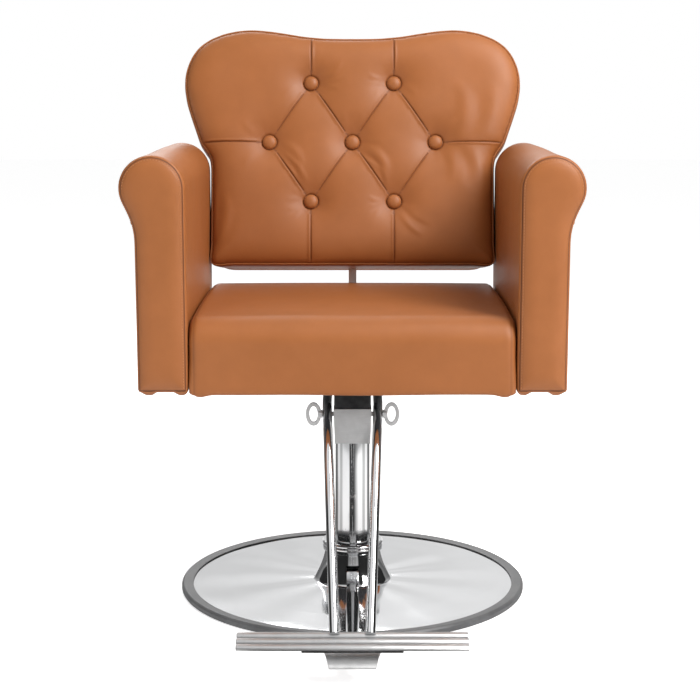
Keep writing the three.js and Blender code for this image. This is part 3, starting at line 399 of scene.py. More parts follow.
def paint_material(name, tone, roughness=0.45, metallic=0.0, cells=1500.0, depth=0.00005, amount=0.6):
    """Paint, plastic or a cast skin: orange peel in the bump, edges worn towards another tone."""
    material, w, shader = new_material(name, Metallic=metallic, Specular_IOR_Level=0.45)
    where = w.place()
    peel = w.noise(where, cells, 3.0)
    cloud = w.noise(where, 28.0, 4.0)
    wear = group_in(w, edge_wear(), Amount=amount)["Wear"]
    dust = group_in(w, floor_dust(), Amount=0.22)["Dust"]
    marks = group_in(w, fine_scratches(), Amount=1.0)
    base = w.mix(w.span(cloud, 0.3, 0.7), scaled(tone, 0.82), scaled(tone, 1.2))
    base = w.mix(wear, base, scaled(tone, 2.0, 0.03))
    base = w.mix(dust, base, (0.42, 0.40, 0.37))
    rough = w.plus(w.span(cloud, 0.3, 0.7, roughness * 0.9, roughness * 1.12), w.times(marks["Mask"], 0.06))
    feed(w, shader, Base_Color=base, Roughness=rough, Normal=bump(w, peel, depth, 0.5))
    return material


def plywood_material():
    material, w, shader = new_material("Plywood", Specular_IOR_Level=0.3)
    where = w.place()
    stretched = w.made("ShaderNodeMapping", {"Vector": where, "Scale": (1.0, 14.0, 14.0)})
    grain = w.noise(stretched, 22.0, 6.0, 0.6)
    plies = w.put(
        "ShaderNodeTexWave", {"Vector": where, "Scale": 170.0, "Distortion": 0.6}, bands_direction="Z"
    ).outputs["Fac"]
    wear = group_in(w, edge_wear(), Amount=0.4)["Wear"]
    tone = tuple(colours().wood)
    base = w.mix(w.span(grain, 0.3, 0.7), scaled(tone, 0.72), scaled(tone, 1.15))
    base = w.mix(w.times(plies, 0.3), base, scaled(tone, 0.55))
    base = w.mix(wear, base, scaled(tone, 1.3))
    rough = w.span(grain, 0.2, 0.8, 0.62, 0.8)
    feed(w, shader, Base_Color=base, Roughness=rough, Normal=bump(w, grain, 0.0002, 0.4))
    return material


def dust_cloth_material():
    material, w, shader = new_material(
        "Dust cloth", Specular_IOR_Level=0.2, Sheen_Weight=0.25, Sheen_Roughness=0.6
    )
    where = w.place()
    threads = {"Vector": where, "Scale": 260.0, "Distortion": 0.4}
    ups = w.put("ShaderNodeTexWave", threads, bands_direction="X")
    across = w.put("ShaderNodeTexWave", threads, bands_direction="Y")
    weave = w.times(ups.outputs["Fac"], across.outputs["Fac"])
    fibres = w.noise(where, 500.0, 4.0)
    tone = tuple(colours().cloth)
    feed(
        w,
        shader,
        Base_Color=w.mix(w.plus(weave, w.times(fibres, 0.4)), tone, scaled(tone, 3.2)),
        Roughness=w.span(fibres, 0.2, 0.8, 0.85, 0.97),
        Normal=bump(w, w.plus(weave, fibres), 0.0003, 0.6),
    )
    return material


MAKERS = {
    "leather": leather_material,
    "thread": thread_material,
    "chrome": lambda: chrome_material("Polished chrome"),
    "cover_chrome": lambda: chrome_material("Pressed chrome cover", 0.075, 0.0016, 6.5),
    "satin": lambda: brushed_material("Satin steel", tuple(colours().satin), roughness=0.34),
    "clamp": lambda: brushed_material(
        "Cast clamp", scaled(colours().satin, 0.76), roughness=0.5, metallic=0.3, strength=0.15
    ),
    "tread": lambda: brushed_material(
        "Brushed tread", scaled(colours().satin, 1.02), roughness=0.31, metallic=0.85
    ),
    "pedal": lambda: brushed_material(
        "Pedal plating", scaled(colours().satin, 1.16), (60.0, 1.0, 60.0), roughness=0.42, metallic=0.4
    ),
    "zinc": lambda: brushed_material("Plated fastener", tuple(colours().zinc), (20.0, 20.0, 20.0), 0.3),
    "trim": lambda: paint_material("Trim ring", colours().trim, 0.42, 0.25, 2200.0, 0.00004, amount=0.35),
    "black": lambda: paint_material("Black paint", colours().black, 0.33, 0.0, 1300.0, 0.00006, amount=0.5),
    "iron": lambda: paint_material("Cast iron", colours().iron, 0.6, 0.6, 700.0, 0.00025, amount=0.5),
    "plywood": plywood_material,
    "cloth": dust_cloth_material,
}
HIDDEN_FINISHES = {
    "base_plate": "iron",
    "pump_base": "iron",
    "pedal_axle": "zinc",
    "piston_head": "satin",
    "seat_board": "plywood",
    "stay_screw_1": "zinc",
    "stay_screw_2": "zinc",
    "back_side_bolt_left": "zinc",
    "back_side_bolt_right": "zinc",
    "tread_bolt_left": "zinc",
    "tread_bolt_right": "zinc",
}
_materials = {}


def finish_of(name):
    if name not in _materials:
        _materials[name] = MAKERS[name]()
    return _materials[name]


# ------------------------------------------------------------------ mesh helpers


def node_points(name):
    """Vertices of a CAD node."""
    return np.array([tuple(v.co) for v in frame["nodes"][name].data.vertices], float)


def bell(distance, width, power=2):
    """1 at no distance, falling away over the width."""
    return np.exp(-((distance / width) ** power))


def bezier(controls, shares):
    """Points of the Bezier curve at each share of its way."""
    last = len(controls) - 1
    terms = [(math.comb(last, k), last - k, k, np.array(p, float)) for k, p in enumerate(controls)]
    return [sum(c * (1 - t) ** a * t ** b * p for c, a, b, p in terms) for t in shares]


def bands(rings, closed=False):
    """Faces between rings of vertex numbers, with fewer corners where numbers repeat, as at a pole."""
    faces = []
    for a, b in zip(rings, rings[1:] + rings[:1] if closed else rings[1:]):
        for k in range(len(a)):
            n = (k + 1) % len(a)
            corners = list(dict.fromkeys((a[k], a[n], b[n], b[k])))
            if len(corners) > 2:
                faces.append(corners)
    return faces


def scaled(tone, gain, lift=0.0):
    """The colour made lighter or darker."""
    return tuple(min(1.0, v * gain + lift) for v in tone)


def smooth_step(t):
    t = np.clip(t, 0.0, 1.0)
    return t * t * (3 - 2 * t)


def make_object(name, vertices, faces, material, attributes=None, smooth=True, sharp_angle=None):
    """A mesh object at the origin, its faces turned outwards."""
    mesh = bpy.data.meshes.new(name)
    mesh.from_pydata([tuple(map(float, v)) for v in vertices], [], [tuple(map(int, f)) for f in faces])
    for label, values in (attributes or {}).items():
        layer = mesh.attributes.new(label, "FLOAT", "POINT")
        layer.data.foreach_set("value", np.asarray(values, np.float32))
    work = bmesh.new()
    work.from_mesh(mesh)
    bmesh.ops.remove_doubles(work, verts=work.verts, dist=1e-6)
    bmesh.ops.recalc_face_normals(work, faces=work.faces)
    work.to_mesh(mesh)
    work.free()
    obj = bpy.data.objects.new(name, mesh)
    bpy.context.scene.collection.objects.link(obj)
    obj.data.materials.append(material)
    for polygon in mesh.polygons:
        polygon.use_smooth = smooth
    if sharp_angle is not None:
        mark_sharp(mesh, sharp_angle)
    return obj


def mark_sharp(mesh, angle):
    """Smooth shading that stops at edges sharper than the angle."""
    work = bmesh.new()
    work.from_mesh(mesh)
    for edge in work.edges:
        edge.smooth = len(edge.link_faces) != 2 or edge.calc_face_angle(0.0) < angle
    for face in work.faces:
        face.smooth = True
    work.to_mesh(mesh)
    work.free()


def freeze(obj):
    """Applies the modifiers, and leaves a plain mesh under the same name."""
    depsgraph = bpy.context.evaluated_depsgraph_get()
    depsgraph.update()
    mesh = bpy.data.meshes.new_from_object(obj.evaluated_get(depsgraph), depsgraph=depsgraph)
    obj.modifiers.clear()
    obj.data = mesh
    return obj


def turned(name, profile, material, sides=None, sharp=math.radians(28)):
    """A lathe piece about the Z axis from [radius, z] corners; a corner at radius 0 closes a pole."""
    sides = sides or sizes().round_sides
    angles = np.arange(sides) * 2 * math.pi / sides
    vertices, rings = [], []
    for radius, z in profile:
        if radius < 1e-7:
            rings.append([len(vertices)] * sides)
            vertices.append((0.0, 0.0, z))
            continue
        rings.append(list(range(len(vertices), len(vertices) + sides)))
        vertices.extend((radius * math.cos(a), radius * math.sin(a), z) for a in angles)
    return make_object(name, vertices, bands(rings, closed=True), material, sharp_angle=sharp)


def rounded(profile, radius, steps=4):
    """The closed profile with each corner rounded."""
    points = [np.array(p, float) for p in profile]
    out = []
    for i, p in enumerate(points):
        before = points[i - 1] - p
        after = points[(i + 1) % len(points)] - p
        reach = min(radius, np.linalg.norm(before) * 0.45, np.linalg.norm(after) * 0.45)
        a = p + before / max(np.linalg.norm(before), 1e-12) * reach
        b = p + after / max(np.linalg.norm(after), 1e-12) * reach
        if p[0] < 1e-7:
            out.append(p)
            continue
        out += bezier((a, p, b), [k / steps for k in range(steps + 1)])
    return [tuple(p) for p in out]


def refined(name, node, material, bevel, segments=3, angle=math.radians(32)):
    """A merged copy of a CAD node with its edges rounded."""
    source = frame["nodes"][node]
    obj = bpy.data.objects.new(name, source.data.copy())
    bpy.context.scene.collection.objects.link(obj)
    work = bmesh.new()
    work.from_mesh(obj.data)
    bmesh.ops.remove_doubles(work, verts=work.verts, dist=2e-6)
    bmesh.ops.dissolve_limit(work, angle_limit=math.radians(0.6), verts=work.verts, edges=work.edges)
    work.to_mesh(obj.data)
    work.free()
    obj.data.materials.clear()
    obj.data.materials.append(material)
    rounding = obj.modifiers.new("Rounded edges", "BEVEL")
    rounding.width = bevel
    rounding.segments = segments
    rounding.limit_method = "ANGLE"
    rounding.angle_limit = angle
    rounding.use_clamp_overlap = True
    rounding.harden_normals = False
    freeze(obj)
    mark_sharp(obj.data, math.radians(40))
    return obj


def tube(points, radius, sides=10, closed=False):
    """Vertices and faces of a round bar along points, its rings kept from twisting."""
    points = [Vector(p) for p in points]
    count = len(points)
    tangents = []
    for i in range(count):
        before = points[i - 1] if closed or i else points[0]
        after = points[(i + 1) % count] if closed or i < count - 1 else points[-1]
        tangents.append((after - before).normalized())
    normal = tangents[0].orthogonal().normalized()
    vertices, faces = [], []
    for point, tangent in zip(points, tangents):
        normal = (normal - tangent * normal.dot(tangent)).normalized()
        other = tangent.cross(normal)
        for k in range(sides):
            a = 2 * math.pi * k / sides
            vertices.append(point + (normal * math.cos(a) + other * math.sin(a)) * radius)
    for i in range(count if closed else count - 1):
        n = (i + 1) % count
        shift = 0
        if closed and i == count - 1:
            gaps = [(vertices[n * sides + s] - vertices[i * sides]).length for s in range(sides)]
            shift = gaps.index(min(gaps))
        for k in range(sides):
            m = (k + 1) % sides
            here, there = i * sides, n * sides
            far_m, far_k = there + (m + shift) % sides, there + (k + shift) % sides
            faces.append((here + k, here + m, far_m, far_k))
    if not closed:
        faces.append(tuple(range(sides))[::-1])
        faces.append(tuple(range((count - 1) * sides, count * sides)))
    return vertices, faces


def resample(points, step, closed=False):
    """The polyline with its points evenly spaced."""
    points = np.asarray(points, float)
    if closed:
        points = np.vstack([points, points[:1]])
    gaps = np.linalg.norm(np.diff(points, axis=0), axis=1)
    along = np.concatenate([[0], np.cumsum(gaps)])
    count = max(2, int(round(along[-1] / step)))
    where = np.linspace(0, along[-1], count + 1)
    out = np.stack([np.interp(where, along, points[:, k]) for k in range(points.shape[1])], axis=1)
    return out[:-1] if closed else out


def smooth_closed(points, rounds=6):
    """Corner cutting on a closed polyline, then evened out."""
    points = np.asarray(points, float)
    for _ in range(rounds):
        points = (np.roll(points, 1, axis=0) + 2 * points + np.roll(points, -1, axis=0)) / 4
    return points


def offset_closed(points, inset):
    """The closed counter-clockwise polyline moved inwards."""
    ahead = np.roll(points, -1, axis=0) - np.roll(points, 1, axis=0)
    ahead /= np.maximum(np.linalg.norm(ahead, axis=1), 1e-12)[:, None]
    return points + np.stack([-ahead[:, 1], ahead[:, 0]], axis=1) * inset


def distance_to_line(points, line, closed=False):
    """Distance of each point to a polyline."""
    a = line if closed else line[:-1]
    b = np.roll(line, -1, axis=0) if closed else line[1:]
    best = np.full(len(points), 1e9)
    for start, end in zip(a, b):
        d = end - start
        t = np.clip(((points - start) @ d) / max(d @ d, 1e-18), 0, 1)
        best = np.minimum(best, np.linalg.norm(points - start - t[:, None] * d, axis=1))
    return best


def inside(points, outline):
    """True for points inside the closed outline."""
    x, y = points[:, 0], points[:, 1]
    result = np.zeros(len(points), bool)
    for (x0, y0), (x1, y1) in zip(outline, np.roll(outline, -1, axis=0)):
        crosses = (y0 > y) != (y1 > y)
        at = x0 + (y - y0) / (y1 - y0 if y1 != y0 else 1e-12) * (x1 - x0)
        result ^= crosses & (x < at)
    return result


def hex_grid(low, high, step):
    rows = np.arange(low[1], high[1], step * 0.866)
    out = []
    for i, y in enumerate(rows):
        xs = np.arange(low[0] + (step / 2 if i % 2 else 0), high[0], step)
        out.append(np.stack([xs, np.full(len(xs), y)], axis=1))
    return np.vstack(out)


def triangulated(outline, points):
    """Triangles over the outline's inside through all the points; the outline's points come first."""
    everything = [Vector(p) for p in np.vstack([outline, points])]
    count = len(outline)
    edges = [(i, (i + 1) % count) for i in range(count)]
    vertices, _, faces, _, _, _ = delaunay_2d_cdt(everything, edges, [list(range(count))], 1, 1e-7)
    return np.array([tuple(v) for v in vertices]), [list(f) for f in faces]


def settle(obj, body, replaces=()):
    """Says what the piece rides on and stands for."""
    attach(obj, body)
    if replaces:
        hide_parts(*replaces)
    return obj


# ------------------------------------------------------------------ backrest


def back_frame():
    """Origin, across, up and front directions of the backrest, found from its CAD cushion."""
    points = node_points("backrest_cushion")
    foot = points[np.argmin(points[:, 1])]
    rear_foot = points[np.argmin(points[:, 2])]
    lean = math.atan2(foot[2] - rear_foot[2], rear_foot[1] - foot[1])
    up = Vector((0, math.sin(lean), math.cos(lean)))
    out = Vector((0, -math.cos(lean), math.sin(lean)))
    return Vector((0, foot[1], foot[2])), up, out


def to_back(points):
    """World points of backrest points (across, up, out)."""
    origin, up, out = back_frame()
    points = np.asarray(points, float)
    return np.array(origin) + points @ np.array([(1, 0, 0), tuple(up), tuple(out)])


def from_back(points):
    origin, up, out = back_frame()
    moved = np.asarray(points, float) - np.array(origin)
    return moved @ np.array([(1, 0, 0), tuple(up), tuple(out)]).T


def back_outline(step=3 * MM):
    """The cushion's outline, counter-clockwise from its own CAD corners, evenly spaced and smoothed."""
    local = from_back(node_points("backrest_cushion"))
    rim = local[np.abs(local[:, 2]) < 1e-5][:, :2]
    rim = np.unique(np.round(rim, 6), axis=0)
    middle = np.array([0.0, (rim[:, 1].min() + rim[:, 1].max()) / 2])
    rim = rim[np.argsort(np.arctan2(rim[:, 1] - middle[1], rim[:, 0] - middle[0]))]
    fine = resample(smooth_closed(resample(rim, step, closed=True), 10), step, closed=True)
    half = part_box("arm_pad_right")[0].x - 1.8 * MM
    tall = fine[:, 1].max() - fine[:, 1].min()
    corner, waist = fine[:, 1].min() + 45 * MM, fine[:, 1].min() + 0.50 * tall
    side = fine[(fine[:, 0] > 0) & (fine[:, 1] > corner) & (fine[:, 1] < waist + 60 * MM)]
    side = side[np.argsort(side[:, 1])]
    local = np.interp(fine[:, 1], side[:, 1], side[:, 0])
    low_down = smooth_step((waist - fine[:, 1]) / (50 * MM))
    fine[:, 0] *= 1 + low_down * np.clip(half / local - 1, -0.02, 0.1)
    return resample(fine, step, closed=True)


def squared(outline, power, corner=44 * MM):
    """The outline with its two lower corners drawn out towards a square; a power of 2 leaves them round."""
    out = outline.copy()
    floor = outline[:, 1].min()
    half = np.abs(outline[outline[:, 1] < floor + 2 * corner][:, 0]).max()
    for side in (-1, 1):
        middle = np.array([side * (half - corner), floor + corner])
        away = outline - middle
        mine = (away[:, 0] * side > 0) & (away[:, 1] < 0)
        size = np.linalg.norm(away[mine], axis=1)
        across = np.abs(away[mine] / size[:, None])
        reach = (across ** power).sum(1) ** (-1 / power) / (across ** 2).sum(1) ** -0.5
        out[mine] = middle + away[mine] * reach[:, None]
    return out


def button_places():
    """Middle of each covered button, across and up the backrest."""
    places = []
    for i in range(1, 8):
        points = from_back(node_points(f"back_button_{i}"))
        places.append((points[:, :2].min(0) + points[:, :2].max(0)) / 2)
    return places


def pleat_lines(buttons, outline):
    """(start, end, lip) of each pleat and seam; lip is how strongly the fold laps over."""
    top_left, top_right, mid_left, mid, mid_right, low_left, low_right = buttons
    folds = [(top_left, mid), (top_right, mid_right), (mid_left, low_left), (mid, low_right)]
    plain = [(top_left, mid_left), (top_right, mid), (mid, low_left), (mid_right, low_right)]
    lines = [(a, b, 1.0, "pleat") for a, b in folds] + [(a, b, 0.45, "pleat") for a, b in plain]

    def edge(start, direction):
        steps = start + np.outer(np.linspace(0, 0.4, 1601), direction)
        return steps[np.argmin(inside(steps, outline))]

    for a in (top_left, top_right):
        lines.append((a, edge(a, (0, 1)), 0.7, "seam"))
    for a in (low_left, low_right):
        lines.append((a, edge(a, (0, -1)), 0.7, "seam"))
    lines.append((mid_left, edge(mid_left, (-1, 0)), 0.7, "seam"))
    lines.append((mid_right, edge(mid_right, (1, 0)), 0.7, "seam"))
    return lines


# Soft folds of the cover in millimetres: start, end, height, half width, sideways bend.
BACK_FOLDS = (
    (-58, 338, -18, 366, 1.3, 5.0, -6),
    (-58, 330, -14, 343, 1.1, 4.0, -4),
    (-60, 322, -22, 318, 0.9, 4.5, 3),
    (-66, 341, -44, 372, 0.8, 5.0, 2),
    (58, 336, 28, 343, 1.2, 4.0, 2),
    (58, 329, 30, 327, 1.1, 3.6, -2),
    (60, 321, 40, 306, 0.8, 4.0, -2),
    (92, 322, 116, 306, 0.9, 6.0, 3),
    (-128, 222, -88, 176, 1.7, 8.0, 8),
    (-136, 206, -92, 150, -1.3, 5.0, 5),
    (-118, 196, -82, 146, 1.2, 5.0, 6),
    (22, 216, 62, 150, 2.1, 8.0, 13),
    (14, 206, 58, 146, -1.6, 5.0, 9),
    (34, 186, 64, 140, 1.4, 4.5, 6),
    (20, 228, 54, 226, 0.9, 6.0, -4),
    (-92, 110, -116, 98, 1.1, 4.0, 2),
    (-92, 104, -108, 84, 0.9, 3.6, 2),
    (-92, 118, -118, 116, 0.8, 4.0, -2),
    (56, 116, 28, 121, 1.2, 3.8, 2),
    (56, 110, 30, 103, 1.1, 3.8, -2),
    (58, 104, 38, 86, 0.9, 3.6, -2),
    (84, 96, 126, 52, 1.5, 5.5, -5),
    (90, 100, 138, 66, -1.0, 5.0, -4),
    (166, 228, 186, 262, 1.0, 6.0, 3),
    (188, 226, 196, 330, 1.6, 13.0, -9),
    (214, 232, 226, 318, -1.3, 12.0, -7),
    (243, 236, 252, 330, 1.3, 12.0, -7),
    (170, 214, 178, 150, 1.5, 10.0, 6),
    (192, 212, 206, 140, -1.2, 10.0, 7),
    (216, 208, 232, 120, 1.2, 10.0, 6),
    (-240, 40, -222, 118, 1.5, 9.0, -5),
    (-252, 60, -238, 150, -0.9, 8.0, -4),
    (-96, 320, -128, 304, 0.7, 6.0, -3),
    (-172, 236, -196, 262, 0.7, 7.0, 3),
    (-170, 208, -196, 176, 0.8, 8.0, -3),
    (-6, 246, -16, 276, 0.7, 6.0, 2),
    (8, 246, 18, 274, 0.7, 6.0, -2),
)


FOLD_GAIN = 1.25


def fold_heights(points, folds):
    """Height that soft folds add at each point, every fold tapering out at both ends."""
    total = np.zeros(len(points))
    for x0, y0, x1, y1, height, width, bend in folds:
        start, end = np.array([x0, y0]) * MM, np.array([x1, y1]) * MM
        d = end - start
        size = np.linalg.norm(d)
        d /= size
        side = np.array([-d[1], d[0]])
        t = (points - start) @ d / size
        sway = bend * MM * np.sin(np.pi * np.clip(t, 0, 1))
        s = (points - start) @ side - sway
        taper = np.sin(np.pi * np.clip(t * 0.9 + 0.08, 0, 1)) ** 0.8
        taper *= (t > -0.08) & (t < 1.1)
        total += FOLD_GAIN * height * MM * taper * (bell(s, width * MM) - 0.35 * bell(s, width * 2.1 * MM))
    return total


def tufted_heights(points, outline, buttons, lines):
    """Height, seam line darkness with painted shade in its groove, and painted crease shade of the tufted front
    at each point.
    """
    s = sizes()
    edge = distance_to_line(points, outline, closed=True)
    margin = np.clip(edge / s.back_edge_reach, 0, 1)
    crown = -s.back_edge_drop + (s.back_puff + s.back_edge_drop) * (1 - (1 - margin) ** 3.0) ** 0.62
    height = crown + fold_heights(points, BACK_FOLDS) * smooth_step(edge / (14 * MM))
    height += 0.35 * MM * np.sin(points[:, 0] * 61 + 1.3) * np.sin(points[:, 1] * 47 + 0.6) * margin
    seam = np.zeros(len(points))
    crease_shade = np.zeros(len(points))
    for start, end, lip, kind in lines:
        d = end - start
        size = np.linalg.norm(d)
        d = d / size
        side = np.array([-d[1], d[0]])
        t = np.clip((points - start) @ d / size, 0, 1)
        off = (points - start) @ side
        beyond = np.linalg.norm(points - start - np.outer(t * size, d), axis=1)
        along = (2 * t - 1) ** 2 if kind == "pleat" else np.clip(1 - t * 1.5, 0, 1) ** 2
        depth = s.pleat_depth * ((0.62 + 0.5 * along) if kind == "pleat" else (0.22 + 0.5 * along))
        width = s.pleat_width * (1.0 if kind == "pleat" else 0.8)
        fade = smooth_step(edge / (10 * MM))
        height -= depth * bell(beyond, width, 1.15) * fade
        groove = bell(beyond, 1.15 * MM)
        height -= s.seam_groove * groove * (0.75 + 0.35 * lip) * fade
        lap = bell(off * np.sign(d[0] * side[1] + 1e-09) + 2.6 * MM, 1.5 * MM)
        height += 1.9 * MM * lip * lap * (beyond < 9 * MM) * fade * (np.abs(beyond - np.abs(off)) < 1e-6)
        # Seam line along each pleat and seam, darkened with painted shade in its groove.
        seam = np.maximum(seam, bell(beyond, 0.95 * MM) * (0.34 + 0.38 * lip))
        # Painted shade in the pleat's valley.
        crease_shade = np.maximum(crease_shade, 0.36 * bell(beyond, 5.0 * MM, 1.3))
    for number, middle in enumerate(buttons):
        r = np.linalg.norm(points - middle, axis=1)
        angle = np.arctan2(points[:, 1] - middle[1], points[:, 0] - middle[0])
        ray = np.cos(angle * 9 + number * 1.7) + 0.6 * np.cos(angle * 14 + number * 2.9 + 1.0)
        reach = np.clip((r - s.button_radius) / (4 * MM), 0, 1)
        reach *= np.exp(-np.maximum(r - s.button_radius, 0) / (11 * MM))
        height += 0.85 * MM * ray * reach * (0.6 + 0.4 * np.cos(angle + number * 2.1))
        pull = bell(np.maximum(r - 6 * MM, 0), s.button_dimple, 1.45)
        height = height * (1 - pull) + (0.4 * MM) * pull
        rim = s.button_radius + 0.4 * MM
        height -= 2.4 * MM * bell(r - rim, 1.3 * MM)
        # Painted shade in the groove round the button's rim and in its dimple.
        seam = np.maximum(seam, 0.42 * bell(r - rim, 0.9 * MM))
        crease_shade = np.maximum(crease_shade, 0.5 * bell(np.maximum(r - s.button_radius, 0), 9 * MM, 1.2))
    # Seam line at the panel's edge, darkened with painted shade.
    seam = np.maximum(seam, 0.5 * bell(edge, 1.6 * MM))
    return height, seam, crease_shade


# Radius in millimetres and number of points of each ring of the panel round a button.
BUTTON_RINGS = (
    (6, 14), (10.5, 26), (12.2, 44), (13.1, 52), (14.0, 52), (15.2, 48), (17, 44), (19.5, 40), (22.5, 36),
)


def tufted_points(outline, buttons, lines):
    """Points of the tufted panel: even over the leather, dense along seams and round buttons."""
    s = sizes()
    rings = []
    for middle in buttons:
        for radius, count in BUTTON_RINGS:
            a = np.arange(count) * 2 * np.pi / count
            rings.append(middle + radius * MM * np.stack([np.cos(a), np.sin(a)], axis=1))
    rings = np.vstack(rings)
    offsets = np.array([0, 0.8, -0.8, 1.7, -1.7, 2.9, -2.9, 4.6, -4.6]) * MM
    strips = []
    for start, end, _, _ in lines:
        d = end - start
        size = np.linalg.norm(d)
        d = d / size
        side = np.array([-d[1], d[0]])
        where = np.linspace(0, size, int(size / (1.7 * MM)))
        for k, off in enumerate(offsets):
            strips.append(start + np.outer(where + (0.4 * MM if k % 2 else 0), d) + side * off)
    strips = np.vstack(strips)
    keep = np.ones(len(strips), bool)
    for middle in buttons:
        keep &= np.linalg.norm(strips - middle, axis=1) > 23.5 * MM
    strips = strips[keep & inside(strips, outline)]
    strips = strips[distance_to_line(strips, outline, closed=True) > 1.2 * MM]
    field = hex_grid(outline.min(0), outline.max(0), s.panel_step)
    field = field[inside(field, outline)]
    keep = distance_to_line(field, outline, closed=True) > 2.0 * MM
    for start, end, _, _ in lines:
        keep &= distance_to_line(field, np.array([start, end])) > 6.4 * MM
    for middle in buttons:
        keep &= np.linalg.norm(field - middle, axis=1) > 24.6 * MM
    return np.vstack([field[keep], strips, rings])


def shell(panel_vertices, panel_faces, rim_count, walls, rear_faces=None):
    """The panel, its walls as rings that start at its rim, and a flat rear."""
    vertices = list(panel_vertices)
    faces = [list(f) for f in panel_faces]
    last = list(range(rim_count))
    for ring in walls:
        new = list(range(len(vertices), len(vertices) + rim_count))
        vertices.extend(ring)
        for k in range(rim_count):
            n = (k + 1) % rim_count
            faces.append([last[k], new[k], new[n], last[n]])
        last = new
    if rear_faces is None:
        faces.append(last)
    else:
        faces.extend([[last[i] for i in f] for f in rear_faces])
    return vertices, faces


